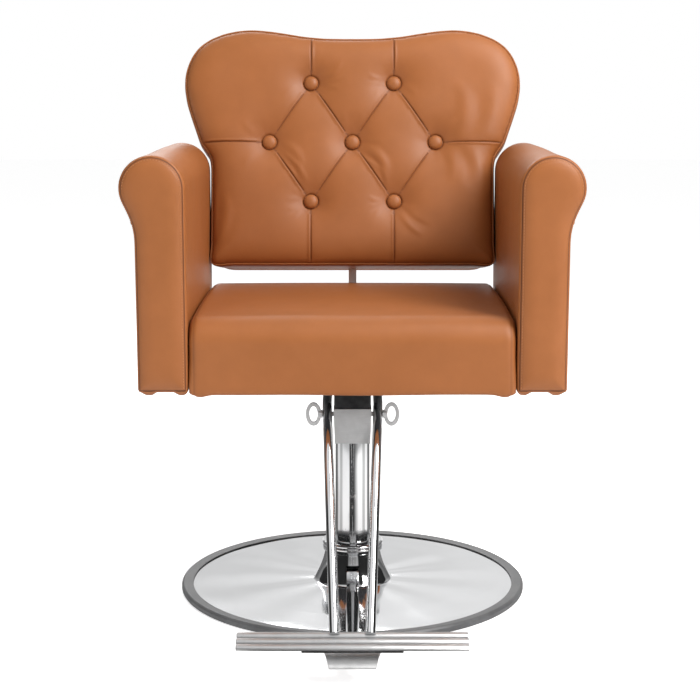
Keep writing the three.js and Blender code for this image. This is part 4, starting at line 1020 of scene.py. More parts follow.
class CHAIR_OT_backrest(bpy.types.Operator):
    """Builds the deep-buttoned front, its boxing and welts, and the padded rear of the backrest"""

    bl_idname = "chair.backrest"
    bl_label = "Backrest"

    def execute(self, context):
        s = sizes()
        leather = finish_of("leather")
        edge = back_outline()
        seam_inset = 4.2 * MM
        front = offset_closed(squared(edge, 7.0), seam_inset)
        buttons = button_places()
        lines = pleat_lines(buttons, front)
        flat, triangles = triangulated(front, tufted_points(front, buttons, lines))
        count = len(front)
        height, seam, crease_shade = tufted_heights(flat[:, :2], front, buttons, lines)
        height[:count] = -s.back_edge_drop
        local = np.column_stack([flat[:, :2], height])

        depth = -from_back(node_points("backrest_board"))[:, 2].min()
        walls, wall_seam_shade = [], []
        # Each ring's dark value is painted shade under the front welt and at the rear seam.
        for inset, z, dark, power in (
            (3.4, s.back_edge_drop + 0.9 * MM, 0.7, 7.0),
            (1.6, s.back_edge_drop + 2.6 * MM, 0.2, 6.5),
            (0.3, s.back_edge_drop + 8 * MM, 0.0, 5.0),
            (-0.8, s.back_edge_drop + 18 * MM, 0.0, 3.4),
            (-1.0, s.back_edge_drop + 28 * MM, 0.0, 2.6),
            (0.0, depth - 8 * MM, 0.0, 2.0),
            (2.2, depth - 2.5 * MM, 0.2, 2.0),
            (5.0, depth, 0.6, 2.0),
        ):
            ring = offset_closed(squared(edge, power), inset * MM)
            sway = 0.5 * MM * np.sin(np.arange(count) * 0.21) * (1 if 0.3 > inset > -2 else 0)
            walls.append(np.column_stack([ring, np.full(count, -z) + sway]))
            wall_seam_shade.append(np.full(count, dark))
        _, rear_triangles = triangulated(offset_closed(edge, 5 * MM), np.zeros((0, 2)))
        vertices, faces = shell(local, triangles, count, walls, rear_triangles)
        total = len(vertices)
        shade = {
            "seam": np.concatenate([seam, *wall_seam_shade]),
            "crease_shade": np.concatenate([crease_shade, np.zeros(total - len(crease_shade))]),
        }
        cover = make_object("backrest_cover", to_back(vertices), faces, leather, shade)
        settle(cover, "seat", ["backrest_cushion", "backrest_board"])
        self.rear(edge, leather)
        self.welts(edge, leather)
        return {"FINISHED"}

    def rear(self, edge, leather):
        """The rear pad, crowned, with the slot for the stay left open in its middle."""
        points = from_back(node_points("backrest_rear_pad"))
        near, far = -points[:, 2].max(), -points[:, 2].min()
        stay = from_back(node_points("back_stay"))
        slot_half = np.abs(stay[:, 0]).max() + 2 * MM
        slot_top = stay[:, 1].max() + 3 * MM
        rim = offset_closed(edge, 4.2 * MM)
        notch_floor = near + 8.5 * MM
        field = hex_grid(rim.min(0), rim.max(0), 7 * MM)
        strip_x = np.array([-2.2, -1.2, -0.4, 0.0, 0.6]) * MM
        ups = np.arange(rim[:, 1].min() + 2 * MM, slot_top + 3 * MM, 4 * MM)
        sides = [side * (slot_half - x) for side in (-1, 1) for x in strip_x]
        strips = [np.column_stack([np.full(len(ups), x), ups]) for x in sides]
        across = np.linspace(-slot_half, slot_half, 9)
        for y in (-1.0, -0.2, 0.2, 1.2, 2.4):
            strips.append(np.column_stack([across, np.full(9, slot_top + y * MM)]))
        strips = np.vstack(strips)
        keep = inside(field, rim) & (distance_to_line(field, rim, closed=True) > 4 * MM)
        keep &= ~((np.abs(field[:, 0]) < slot_half + 5 * MM) & (field[:, 1] < slot_top + 6 * MM))
        strips = strips[inside(strips, rim)]
        strips = strips[distance_to_line(strips, rim, closed=True) > 1.5 * MM]
        flat, triangles = triangulated(rim, np.vstack([field[keep], strips]))
        count = len(rim)
        away = distance_to_line(flat[:, :2], rim, closed=True)
        margin = np.clip(away / (46 * MM), 0, 1)
        z = -(far - 7 * MM) - 8.5 * MM * (1 - (1 - margin) ** 2.6) ** 0.7
        z += 0.4 * MM * np.sin(flat[:, 0] * 43 + 0.4) * np.sin(flat[:, 1] * 37) * margin
        from_slot = np.maximum(np.abs(flat[:, 0]) - slot_half, flat[:, 1] - slot_top)
        sunk = smooth_step(-from_slot / (0.9 * MM) + 0.5)
        draw = np.exp(-np.clip(from_slot, 0, 1) / (9 * MM)) * 2.2 * MM
        z = z + draw
        z = z * (1 - sunk) - notch_floor * sunk
        z[:count] = -(far - 7 * MM)
        # Seam line round the rim with painted shade in it, and painted shade along the slot's edge.
        seam = 0.5 * bell(away, 1.6 * MM)
        seam = np.maximum(seam, 0.7 * bell(from_slot, 1.3 * MM))
        walls, wall_seam_shade = [], []
        # Each wall ring's dark value is painted shade at the seams.
        for inset, back, dark in (
            (3.2, far - 8 * MM, 0.6),
            (1.4, far - 9.5 * MM, 0.15),
            (0.2, far - 14 * MM, 0.0),
            (0.0, near + 9 * MM, 0.0),
            (1.6, near + 3 * MM, 0.1),
            (4.6, near, 0.6),
        ):
            walls.append(np.column_stack([offset_closed(edge, inset * MM), np.full(count, -back)]))
            wall_seam_shade.append(np.full(count, dark))
        _, rear_triangles = triangulated(offset_closed(edge, 4.6 * MM), np.zeros((0, 2)))
        vertices, faces = shell(np.column_stack([flat[:, :2], z]), triangles, count, walls, rear_triangles)
        shade = {
            "seam": np.concatenate([seam, *wall_seam_shade]),
            # Painted shade in the slot's recess.
            "crease_shade": np.concatenate([0.3 * sunk, np.zeros(len(vertices) - len(sunk))]),
        }
        pad = make_object("backrest_rear_cover", to_back(vertices), faces, leather, shade)
        settle(pad, "seat", ["backrest_rear_pad"])

    def welts(self, edge, leather):
        """Piping along the front seam and the rear seam."""
        s = sizes()
        points = from_back(node_points("backrest_rear_pad"))
        far = -points[:, 2].min()
        vertices, faces = [], []
        rows = ((3.4 * MM, -s.back_edge_drop + 0.2 * MM, 7.0), (3.0 * MM, -(far - 7.2 * MM), 2.0))
        for inset, z, power in rows:
            ring = resample(offset_closed(squared(edge, power), inset), 4.5 * MM, closed=True)
            path = to_back(np.column_stack([ring, np.full(len(ring), z)]))
            more, more_faces = tube(path, s.welt_radius, 10, closed=True)
            faces.extend([tuple(i + len(vertices) for i in f) for f in more_faces])
            vertices.extend(more)
        welt = make_object("backrest_welts", vertices, faces, leather)
        settle(welt, "seat")


# Share of the button's radius and height in millimetres, from its middle to its underside.
BUTTON_PROFILE = (
    (0.0, 7.3), (0.22, 7.1), (0.44, 6.6), (0.64, 5.7), (0.80, 4.5), (0.91, 3.1), (0.975, 1.6), (0.985, 0.5),
    (0.93, -0.6), (0.80, -1.4), (0.0, -1.6),
)


class CHAIR_OT_buttons(bpy.types.Operator):
    """Builds the leather-covered buttons of the backrest"""

    bl_idname = "chair.buttons"
    bl_label = "Covered Buttons"

    def execute(self, context):
        s = sizes()
        sides = 40
        for i, (x, y) in enumerate(button_places(), start=1):
            vertices, rings = [], []
            for share, z in BUTTON_PROFILE:
                radius = share * s.button_radius
                if radius < 1e-6:
                    rings.append([len(vertices)] * sides)
                    vertices.append((x, y, z * MM))
                    continue
                rings.append(list(range(len(vertices), len(vertices) + sides)))
                for k in range(sides):
                    a = 2 * math.pi * k / sides
                    tuck = 1 + 0.012 * math.sin(11 * a + i) * smooth_step(np.array((share - 0.7) / 0.3))
                    reach = radius * tuck
                    vertices.append((x + reach * math.cos(a), y + reach * math.sin(a), z * MM))
            local = np.array(vertices, float)
            # Painted shade on the button's underside, where it sinks into the dimple.
            low = local[:, 2] < 1.8 * MM
            shade = {"seam": np.zeros(len(local)), "crease_shade": np.where(low, 0.8, 0.0)}
            name, leather = f"covered_button_{i}", finish_of("leather")
            button = make_object(name, to_back(local), bands(rings), leather, shade)
            settle(button, "seat", [f"back_button_{i}"])
        return {"FINISHED"}


# ------------------------------------------------------------------ stitches and screws by Geometry Nodes


def node_group(name, inputs):
    """A Geometry Nodes tree with a Geometry input and output and the named inputs."""
    tree = bpy.data.node_groups.new(name, "GeometryNodeTree")
    tree.interface.new_socket(name="Geometry", in_out="INPUT", socket_type="NodeSocketGeometry")
    for label, kind, default in inputs:
        socket = tree.interface.new_socket(name=label, in_out="INPUT", socket_type=kind)
        if default is not None:
            socket.default_value = default
    tree.interface.new_socket(name="Geometry", in_out="OUTPUT", socket_type="NodeSocketGeometry")
    given, result = tree.nodes.new("NodeGroupInput"), tree.nodes.new("NodeGroupOutput")
    return tree, Wiring(tree), given.outputs, result.inputs


def stitch_tree():
    """Stitches laid along every line of the mesh."""
    name = "Row Of Stitches"
    if name in bpy.data.node_groups:
        return bpy.data.node_groups[name]
    tree, w, given, result = node_group(
        name,
        [
            ("Stitch Length", "NodeSocketFloat", 3.2 * MM),
            ("Stitch Pitch", "NodeSocketFloat", 4.6 * MM),
            ("Thread Radius", "NodeSocketFloat", 0.45 * MM),
            ("Slant", "NodeSocketFloat", 0.12),
            ("Material", "NodeSocketMaterial", None),
        ],
    )
    curve = w.made("GeometryNodeMeshToCurve", {"Mesh": given["Geometry"]})
    evenly = {"Curve": curve, "Length": given["Stitch Pitch"]}
    spaced = w.made("GeometryNodeResampleCurve", evenly, mode="LENGTH")
    tangent = w.made("GeometryNodeInputTangent")
    turn = w.made("FunctionNodeAlignRotationToVector", {"Vector": tangent}, axis="Z")
    tilt = w.put("FunctionNodeRandomValue", {2: -0.12, 3: 0.12, "Seed": 7}, data_type="FLOAT").outputs[1]
    slant = w.made("ShaderNodeMath", {0: given["Slant"], 1: tilt}, operation="ADD")
    lean = w.made("FunctionNodeEulerToRotation", {0: w.made("ShaderNodeCombineXYZ", {"X": slant})})
    both = {"Rotation": turn, "Rotate By": lean}
    turned_stitch = w.made("FunctionNodeRotateRotation", both, rotation_space="LOCAL")
    bead = w.made("GeometryNodeMeshUVSphere", {"Segments": 6, "Rings": 5, "Radius": 1.0})
    half = w.times(given["Stitch Length"], 0.5)
    thick = given["Thread Radius"]
    size = w.made("ShaderNodeCombineXYZ", {"X": thick, "Y": thick, "Z": half})
    stitch = w.made("GeometryNodeTransform", {"Geometry": bead, "Scale": size})
    laid = w.made(
        "GeometryNodeInstanceOnPoints", {"Points": spaced, "Instance": stitch, "Rotation": turned_stitch}
    )
    real = w.made("GeometryNodeRealizeInstances", {"Geometry": laid})
    smooth = w.made("GeometryNodeSetShadeSmooth", {"Geometry": real})
    painted = w.made("GeometryNodeSetMaterial", {"Geometry": smooth, "Material": given["Material"]})
    tree.links.new(painted, result[0])
    return tree


def screw_tree():
    """A hexagon head with a washer and a rounded crown at every vertex, all facing one way."""
    name = "Screw Heads"
    if name in bpy.data.node_groups:
        return bpy.data.node_groups[name]
    tree, w, given, result = node_group(
        name,
        [
            ("Head Radius", "NodeSocketFloat", 7 * MM),
            ("Head Height", "NodeSocketFloat", 4.5 * MM),
            ("Washer Radius", "NodeSocketFloat", 9 * MM),
            ("Shank Radius", "NodeSocketFloat", 4 * MM),
            ("Shank Length", "NodeSocketFloat", 20 * MM),
            ("Facing", "NodeSocketRotation", None),
            ("Material", "NodeSocketMaterial", None),
        ],
    )

    def drum(sides, radius, depth, z, top_radius=None):
        top = top_radius or radius
        drawn = {"Vertices": sides, "Radius Bottom": radius, "Radius Top": top, "Depth": depth}
        mesh = w.made("GeometryNodeMeshCone", drawn)
        place = w.made("ShaderNodeCombineXYZ", {"Z": z})
        return w.made("GeometryNodeTransform", {"Geometry": mesh, "Translation": place})

    height = given["Head Height"]
    washer_height = w.times(height, 0.22)
    body_height = w.times(height, 0.62)
    top_height = w.times(height, 0.16)
    washer = drum(28, given["Washer Radius"], washer_height, 0.0)
    body = drum(6, given["Head Radius"], body_height, washer_height)
    body_top = w.plus(washer_height, body_height)
    crown_foot, crown_top = w.times(given["Head Radius"], 0.88), w.times(given["Head Radius"], 0.62)
    crown = drum(24, crown_foot, top_height, body_top, crown_top)
    down = w.times(given["Shank Length"], -1.0)
    shank = drum(20, given["Shank Radius"], given["Shank Length"], down)
    joined = w.put("GeometryNodeJoinGeometry")
    for part in (washer, body, crown, shank):
        tree.links.new(part, joined.inputs[0])
    points = w.made("GeometryNodeMeshToPoints", {"Mesh": given["Geometry"]})
    laid = w.made(
        "GeometryNodeInstanceOnPoints",
        {"Points": points, "Instance": joined.outputs[0], "Rotation": given["Facing"]},
    )
    real = w.made("GeometryNodeRealizeInstances", {"Geometry": laid})
    painted = w.made("GeometryNodeSetMaterial", {"Geometry": real, "Material": given["Material"]})
    tree.links.new(painted, result[0])
    return tree


def grown(name, vertices, edges, tree, material, **values):
    """Runs a Geometry Nodes tree on the vertices and edges, and keeps the plain mesh."""
    mesh = bpy.data.meshes.new(name)
    mesh.from_pydata([tuple(map(float, v)) for v in vertices], [tuple(map(int, e)) for e in edges], [])
    obj = bpy.data.objects.new(name, mesh)
    bpy.context.scene.collection.objects.link(obj)
    modifier = obj.modifiers.new(tree.name, "NODES")
    modifier.node_group = tree
    named = {item.name: item.identifier for item in tree.interface.items_tree if item.in_out == "INPUT"}
    for label, value in {**values, "Material": material}.items():
        modifier[named[label.replace("_", " ")]] = value
    freeze(obj)
    return obj


def sew(name, paths, body="seat"):
    """Rows of stitches along the paths."""
    s = sizes()
    vertices, edges = [], []
    for path in paths:
        first = len(vertices)
        vertices.extend(path)
        edges.extend((first + i, first + i + 1) for i in range(len(path) - 1))
    obj = grown(
        name,
        vertices,
        edges,
        stitch_tree(),
        finish_of("thread"),
        Stitch_Length=s.stitch_length,
        Stitch_Pitch=s.stitch_pitch,
        Thread_Radius=s.thread_radius,
    )
    return settle(obj, body)


# ------------------------------------------------------------------ arms


def arm_sizes():
    """Inner and outer faces, bottom, and the roll's middle and radius, of the right arm's pad."""
    low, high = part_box("arm_pad_right")
    core_low, core_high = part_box("arm_core_right")
    roll = (high.x - low.x) / 2
    return {
        "inner": low.x,
        "outer": core_low.x + core_high.x - low.x,
        "bottom": low.z,
        "roll": roll,
        "x": low.x + roll,
        "z": high.z - roll,
        "rear": high.y,
        "front": low.y,
        "face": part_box("arm_facing_right")[0].y,
    }


def arm_section(step=3 * MM):
    """The right arm's end view in (x, z), counter-clockwise."""
    a = arm_sizes()
    turn = math.radians(-27)
    r = a["roll"]
    points = [(a["outer"] - 1.5 * MM, a["bottom"]), (a["outer"] - 1.0 * MM, a["z"] - r * 1.72)]
    circle = np.array([a["x"] + r * math.cos(turn), a["z"] + r * math.sin(turn)])
    leaving = circle + 0.62 * r * np.array([math.sin(turn), -math.cos(turn)])
    controls = (points[-1], (a["outer"] - 1.0 * MM, a["z"] - r * 1.28), leaving, circle)
    points += bezier(controls, np.linspace(0.08, 1, 14))
    for angle in np.linspace(turn, math.pi, 60)[1:]:
        points.append((a["x"] + a["roll"] * math.cos(angle), a["z"] + a["roll"] * math.sin(angle)))
    points.append((a["inner"], a["bottom"]))
    return resample(smooth_closed(resample(points, 1.5 * MM, closed=True), 8), step, closed=True)


def arm_facing_height(points, outline):
    """How far the facing stands out in front of its edge, and its seam line darkened with painted shade."""
    s = sizes()
    edge = distance_to_line(points, outline, closed=True)
    margin = np.clip(edge / (30 * MM), 0, 1)
    height = s.facing_crown * (1 - (1 - margin) ** 2.6) ** 0.72
    height -= 0.5 * MM * bell(edge - 3.2 * MM, 0.9 * MM)
    wave = np.sin(points[:, 1] * 23 + 0.7) * np.sin(points[:, 0] * 71 + 1.1)
    height += 0.35 * MM * wave * margin
    # Seam line at the facing's edge, darkened with painted shade.
    seam = 1.0 * bell(edge, 1.3 * MM)
    return height, seam


class CHAIR_OT_arms(bpy.types.Operator):
    """Builds both rolled arms: the wrapped pads, the crowned facings, their stitches and hem folds"""

    bl_idname = "chair.arms"
    bl_label = "Rolled Arms"

    def execute(self, context):
        a = arm_sizes()
        section = arm_section()
        facing_inset = 3.1 * MM
        facing_edge = offset_closed(section, facing_inset)
        field = hex_grid(facing_edge.min(0), facing_edge.max(0), 4.2 * MM)
        field = field[inside(field, facing_edge)]
        field = field[distance_to_line(field, facing_edge, closed=True) > 6.4 * MM]
        rows = [offset_closed(facing_edge, d * MM) for d in (0.9, 1.9, 2.7, 3.4, 4.2, 5.4)]
        facing_flat, facing_triangles = triangulated(facing_edge, np.vstack([field, *rows]))
        height, seam = arm_facing_height(facing_flat[:, :2], facing_edge)
        seam_y = a["face"] + sizes().facing_crown
        stitch_line = offset_closed(facing_edge, 3.2 * MM)
        stitch_height, _ = arm_facing_height(stitch_line, facing_edge)
        for name, side in SIDES:
            self.pad(name, side, section, seam_y)
            self.facing(name, side, facing_flat, facing_triangles, height, seam, facing_edge, seam_y)
            self.stitches(name, side, stitch_line, stitch_height, seam_y)
        return {"FINISHED"}

    def place(self, points, side):
        points = np.array(points, float)
        points[:, 0] *= side
        return points

    def pad(self, name, side, section, seam_y):
        a = arm_sizes()
        count = len(section)
        ledge = a["z"] - a["roll"] * 1.04
        outer_side = section[:, 0] > a["x"] - 10 * MM
        ridge = np.where(outer_side, 1.7 * MM * bell(section[:, 1] - ledge, 2.0 * MM), 0)
        ridge -= np.where(outer_side, 1.1 * MM * bell(section[:, 1] - ledge + 4 * MM, 1.3 * MM), 0)
        front_round, rear_round = 5.5 * MM, 10 * MM
        front = seam_y + 0.4 * MM
        stations = [(front + 2.5 * MM, 10 * MM), (front + 0.2 * MM, 5.6 * MM)]
        for turn in np.linspace(0, math.pi / 2, 7):
            inset = front_round * (1 - math.sin(turn)) * 0.62
            stations.append((front + front_round * (1 - math.cos(turn)), inset))
        body = np.arange(front + front_round + 6 * MM, a["rear"] - rear_round, 7 * MM)
        stations += [(y, 0.0) for y in body]
        for turn in np.linspace(0, math.pi / 2, 8):
            stations.append((a["rear"] - rear_round * (1 - math.sin(turn)), rear_round * (1 - math.cos(turn))))
        vertices, seams_and_shade = [], []
        for j, (y, inset) in enumerate(stations):
            ring = offset_closed(section, inset)
            bulge = 0.5 * MM * math.sin(y * 17 + 0.4) * np.sin(section[:, 1] * 19) if inset == 0 else 0
            outward = ring - offset_closed(ring, 1 * MM)
            outward /= np.linalg.norm(outward, axis=1)[:, None]
            fade = float(smooth_step(np.array((y - front) / (10 * MM))))
            ring = ring + outward * (ridge * fade + bulge)[:, None]
            xyz = np.column_stack([ring[:, 0], np.full(count, y), ring[:, 1]])
            near_bottom = np.clip(1 - (xyz[:, 2] - a["bottom"]) / (7 * MM), 0, 1)
            along = math.exp(-(((y - front - 13 * MM) / (12 * MM)) ** 2))
            for middle, half in ((a["inner"] + 11 * MM, 9 * MM), (a["outer"] - 18 * MM, 10 * MM)):
                fold = bell(xyz[:, 0] - middle, half, 4)
                xyz[:, 2] -= 6.2 * MM * fold * along * near_bottom
            vertices.extend(xyz)
            # Painted shade: the first rings, tucked in behind the facing, are darkened, and so is the dip under
            # the roll's ledge.
            dark = 0.85 if j < 3 else 0.0
            tack_shade = 0.5 * fade * bell(section[:, 1] - ledge + 4 * MM, 1.5 * MM)
            seams_and_shade.extend(np.maximum(dark, np.where(outer_side, tack_shade, 0)))
        rings = [list(range(j * count, (j + 1) * count)) for j in range(len(stations))]
        faces = [*bands(rings), tuple(range(count))]
        last = np.array(vertices[-count:])
        rim = last[:, [0, 2]]
        inner_rows = [offset_closed(rim, d * MM) for d in (1.2, 2.6, 5, 9)]
        field = hex_grid(rim.min(0), rim.max(0), 8 * MM)
        field = field[inside(field, rim)]
        field = field[distance_to_line(field, rim, closed=True) > 12 * MM]
        flat, triangles = triangulated(rim, np.vstack([field, *inner_rows]))
        away = distance_to_line(flat[:, :2], rim, closed=True)
        crown = -1.2 * MM * bell(away, 1.4 * MM) + 0.9 * MM * smooth_step(away / (22 * MM))
        first_new = len(vertices)
        keep = {i: first_new - count + i for i in range(count)}
        for i in range(count, len(flat)):
            keep[i] = len(vertices)
            vertices.append((flat[i, 0], a["rear"] + crown[i] - 0.9 * MM, flat[i, 1]))
            # Seam line round the rear cap, darkened with painted shade.
            seams_and_shade.append(0.8 * math.exp(-((away[i] / (1.6 * MM)) ** 2)))
        seams_and_shade[first_new - count : first_new] = [0.8] * count
        faces.extend(tuple(keep[i] for i in f) for f in triangles)
        shade = {"seam": seams_and_shade, "crease_shade": np.zeros(len(vertices))}
        pad = make_object(f"arm_cover_{name}", self.place(vertices, side), faces, finish_of("leather"), shade)
        settle(pad, "seat", [f"arm_pad_{name}", f"arm_core_{name}"])

    def facing(self, name, side, flat, triangles, height, seam, edge, seam_y):
        count = len(edge)
        front = np.column_stack([flat[:, 0], seam_y - height, flat[:, 1]])
        front[:count, 1] = seam_y
        walls, dark = [], []
        # The walls tucked into the seam carry painted shade.
        for inset, back, shade_value in ((0.2, 1.2 * MM, 0.9), (1.6, 3.0 * MM, 0.9)):
            ring = offset_closed(edge, inset * MM)
            walls.append(np.column_stack([ring[:, 0], np.full(count, seam_y + back), ring[:, 1]]))
            dark.append(np.full(count, shade_value))
        vertices, faces = shell(front, triangles, count, walls)
        shade = {"seam": np.concatenate([seam, *dark]), "crease_shade": np.zeros(len(vertices))}
        placed, leather = self.place(vertices, side), finish_of("leather")
        facing = make_object(f"arm_facing_cover_{name}", placed, faces, leather, shade)
        settle(facing, "seat", [f"arm_facing_{name}"])

    def stitches(self, name, side, line, height, seam_y):
        a = arm_sizes()
        points = np.column_stack([line[:, 0], seam_y - height - 0.30 * MM, line[:, 1]])
        angle = np.arctan2(line[:, 1] - a["z"], line[:, 0] - a["x"])
        wanted = ((line[:, 1] > a["z"]) | (line[:, 0] < a["x"])) & (line[:, 1] > a["bottom"] + 8 * MM)
        wanted &= ~((angle > -math.pi) & (angle < -math.pi / 2) & (line[:, 0] > a["x"] - 30 * MM))
        start = next(i for i in range(len(line)) if wanted[i] and not wanted[i - 1])
        order = [(start + i) % len(line) for i in range(len(line))]
        run = []
        for i in order:
            if not wanted[i]:
                break
            run.append(points[i])
        sew(f"arm_stitching_{name}", [self.place(run, side)])


# ------------------------------------------------------------------ seat


class CHAIR_OT_seat(bpy.types.Operator):
    """Builds the crowned seat cushion with its waterfall front, and the dust cloth under it"""

    bl_idname = "chair.seat"
    bl_label = "Seat"

    def profile(self):
        """The seat's side view in (y, z), and which of its points belong to the board's recess."""
        low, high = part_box("seat_cushion")
        board_low, board_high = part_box("seat_board")
        gap = 0.3 * MM
        nose = 40 * MM
        edge = high.z - 3.5 * MM
        points = []

        def line(a, b, step=5 * MM):
            count = max(1, int(np.linalg.norm(np.subtract(b, a)) / step))
            for i in range(count):
                points.append(tuple(np.array(a) + (np.array(b) - np.array(a)) * i / count))

        def curve(*controls, count):
            points.extend(tuple(p) for p in bezier(controls, [i / count for i in range(count)]))

        corner = 6 * MM
        line((board_high.y + gap, low.z), (high.y - corner, low.z))
        curve((high.y - corner, low.z), (high.y, low.z), (high.y, low.z + corner), count=5)
        line((high.y, low.z + corner), (high.y, edge - 17 * MM))
        curve((high.y, edge - 17 * MM), (high.y, edge), (high.y - 17 * MM, edge), count=9)
        curve((high.y - 17 * MM, edge), (0, high.z + 3.5 * MM), (low.y + nose, edge), count=64)
        pull = nose * 0.5523  # makes the curve a quarter circle
        top_end, front_end = (low.y + nose, edge), (low.y, edge - nose)
        curve(top_end, (top_end[0] - pull, edge), (low.y, front_end[1] + pull), front_end, count=18)
        line((low.y, edge - nose), (low.y, low.z + corner))
        curve((low.y, low.z + corner), (low.y, low.z), (low.y + corner, low.z), count=5)
        line((low.y + corner, low.z), (board_low.y - gap, low.z))
        outer = len(points)
        points.append((board_low.y - gap, low.z))
        points.append((board_low.y - gap, low.z))
        line((board_low.y - gap, low.z), (board_high.y + gap, low.z), 20 * MM)
        points.append((board_high.y + gap, low.z))
        recess = np.zeros(len(points), bool)
        recess[outer + 1 :] = True
        return np.array(points)[::-1], recess[::-1]

    def execute(self, context):
        s = sizes()
        low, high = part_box("seat_cushion")
        board_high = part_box("seat_board")[1]
        profile, recess = self.profile()
        count = len(profile)
        half = high.x
        r = s.seat_side_round
        pocket = board_high.x + 0.3 * MM
        stations = list(np.linspace(0, 1, 11)[:-1] * math.pi / 2)
        xs = [half - r + r * math.sin(math.pi / 2 - t) for t in stations]
        xs += [half - r - d * MM for d in (2, 5)]
        xs += [pocket + 0.2 * MM, pocket - 0.2 * MM]
        inner = np.linspace(pocket - 4 * MM, 0, 42)
        xs = sorted(set(round(x, 7) for x in [*xs, *inner]), reverse=True)
        xs = [-x for x in xs[:]] + xs[::-1][1:]
        top_weight = np.clip((profile[:, 1] - low.z) / (60 * MM), 0.25, 1)
        vertices, seams_and_shade, crease_shades = [], [], []
        side_seam = half - 8.5 * MM
        for x in xs:
            depth = max(0.0, abs(x) - (half - r))
            inset = r - math.sqrt(max(r * r - depth * depth, 0.0))
            inner_ring = offset_closed(profile, -1 * MM)
            outward = profile - inner_ring
            sizes_out = np.linalg.norm(outward, axis=1)
            outward = np.where(sizes_out[:, None] > 1e-9, outward / np.maximum(sizes_out, 1e-9)[:, None], 0)
            ring = profile.copy()
            across = math.cos(math.pi / 2 * min(1, abs(x) / half)) ** 0.6
            top = smooth_step((profile[:, 1] - (high.z - 30 * MM)) / (24 * MM))
            front = smooth_step((low.y + 40 * MM - profile[:, 0]) / (30 * MM)) * (1 - top)
            lift = s.seat_swell * top * across * np.clip(np.cos((profile[:, 0] + 20 * MM) * 6.0), 0, 1)
            lift += 1.6 * MM * front * across
            ripple = 0.45 * MM * math.sin(x * 27 + 0.8) * np.sin(profile[:, 0] * 21 + profile[:, 1] * 17)
            groove = math.exp(-(((abs(x) - side_seam) / (1.3 * MM)) ** 2))
            shown = top + front
            moved = lift + ripple * shown - inset * top_weight - 0.7 * MM * groove * shown
            ring = ring + outward * moved[:, None]
            corner = math.exp(-(((abs(x) - (half - 17 * MM)) / (13 * MM)) ** 2))
            at_front = bell(profile[:, 0] - low.y - 8 * MM, 22 * MM)
            at_front = at_front * smooth_step((low.z + 14 * MM - profile[:, 1]) / (14 * MM))
            ring[:, 1] -= 4.2 * MM * corner * at_front
            ring[recess, 1] = (board_high.z + 0.3 * MM) if abs(x) < pocket else ring[recess, 1]
            vertices.extend(np.column_stack([np.full(count, x), ring]))
            # Painted shade in the side seam's groove.
            seams_and_shade.extend(0.30 * groove * (top + front))
            # Painted shade along the side edges, where the seat meets the arms.
            crease_shades.extend(0.5 * smooth_step(np.array((abs(x) - half + 5 * MM) / (5 * MM))) * np.ones(count))
        rings = [list(range(j * count, (j + 1) * count)) for j in range(len(xs))]
        faces = [*bands(rings), rings[0], rings[-1]]
        shade = {"seam": seams_and_shade, "crease_shade": crease_shades}
        cushion = make_object("seat_cover", vertices, faces, finish_of("leather"), shade)
        settle(cushion, "seat", ["seat_cushion"])
        self.dust_cloth()
        return {"FINISHED"}

    def dust_cloth(self):
        """The cloth stapled under the seat board, slightly rippled."""
        low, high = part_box("dust_cover")
        nx, ny = 90, 78
        xs, ys = np.linspace(low.x, high.x, nx), np.linspace(low.y, high.y, ny)
        gx, gy = np.meshgrid(xs, ys, indexing="ij")
        edge = np.minimum(np.minimum(gx - low.x, high.x - gx), np.minimum(gy - low.y, high.y - gy))
        wave = np.sin(gx * 90 + 2 * np.sin(gy * 30)) * np.sin(gy * 70 + 1.2)
        lift = 0.35 * MM * wave * np.clip(edge / (30 * MM), 0, 1) + 0.35 * MM
        under = np.column_stack([gx.ravel(), gy.ravel(), (low.z + lift * 0.6).ravel()])
        above = under + np.array([0, 0, 0.6 * MM])
        vertices = np.vstack([under, above])
        faces, n = [], nx * ny
        for i in range(nx - 1):
            for j in range(ny - 1):
                a, b = i * ny + j, (i + 1) * ny + j
                faces.append((a, b, b + 1, a + 1))
                faces.append((n + a, n + a + 1, n + b + 1, n + b))
        rim = [i * ny for i in range(nx)] + [(nx - 1) * ny + j for j in range(1, ny)]
        rim += [i * ny + ny - 1 for i in range(nx - 2, -1, -1)] + [j for j in range(ny - 2, 0, -1)]
        for a, b in zip(rim, rim[1:] + rim[:1]):
            faces.append((a, b, n + b, n + a))
        cloth = make_object("seat_dust_cloth", vertices, faces, finish_of("cloth"))
        settle(cloth, "seat", ["dust_cover"])


# ------------------------------------------------------------------ base and pump


def slotted(obj, low, high):
    """Cuts a box out of the piece and keeps a plain mesh."""
    corners = [(x, y, z) for z in (low[2], high[2]) for y in (low[1], high[1]) for x in (low[0], high[0])]
    faces = [(0, 2, 3, 1), (4, 5, 7, 6), (0, 1, 5, 4), (2, 6, 7, 3), (0, 4, 6, 2), (1, 3, 7, 5)]
    cutter = make_object("slot_cutter", corners, faces, obj.data.materials[0], smooth=False)
    cut = obj.modifiers.new("Slot", "BOOLEAN")
    cut.operation, cut.solver, cut.object = "DIFFERENCE", "EXACT", cutter
    freeze(obj)
    mesh = cutter.data
    bpy.data.objects.remove(cutter)
    bpy.data.meshes.remove(mesh)
    mark_sharp(obj.data, math.radians(28))
    return obj


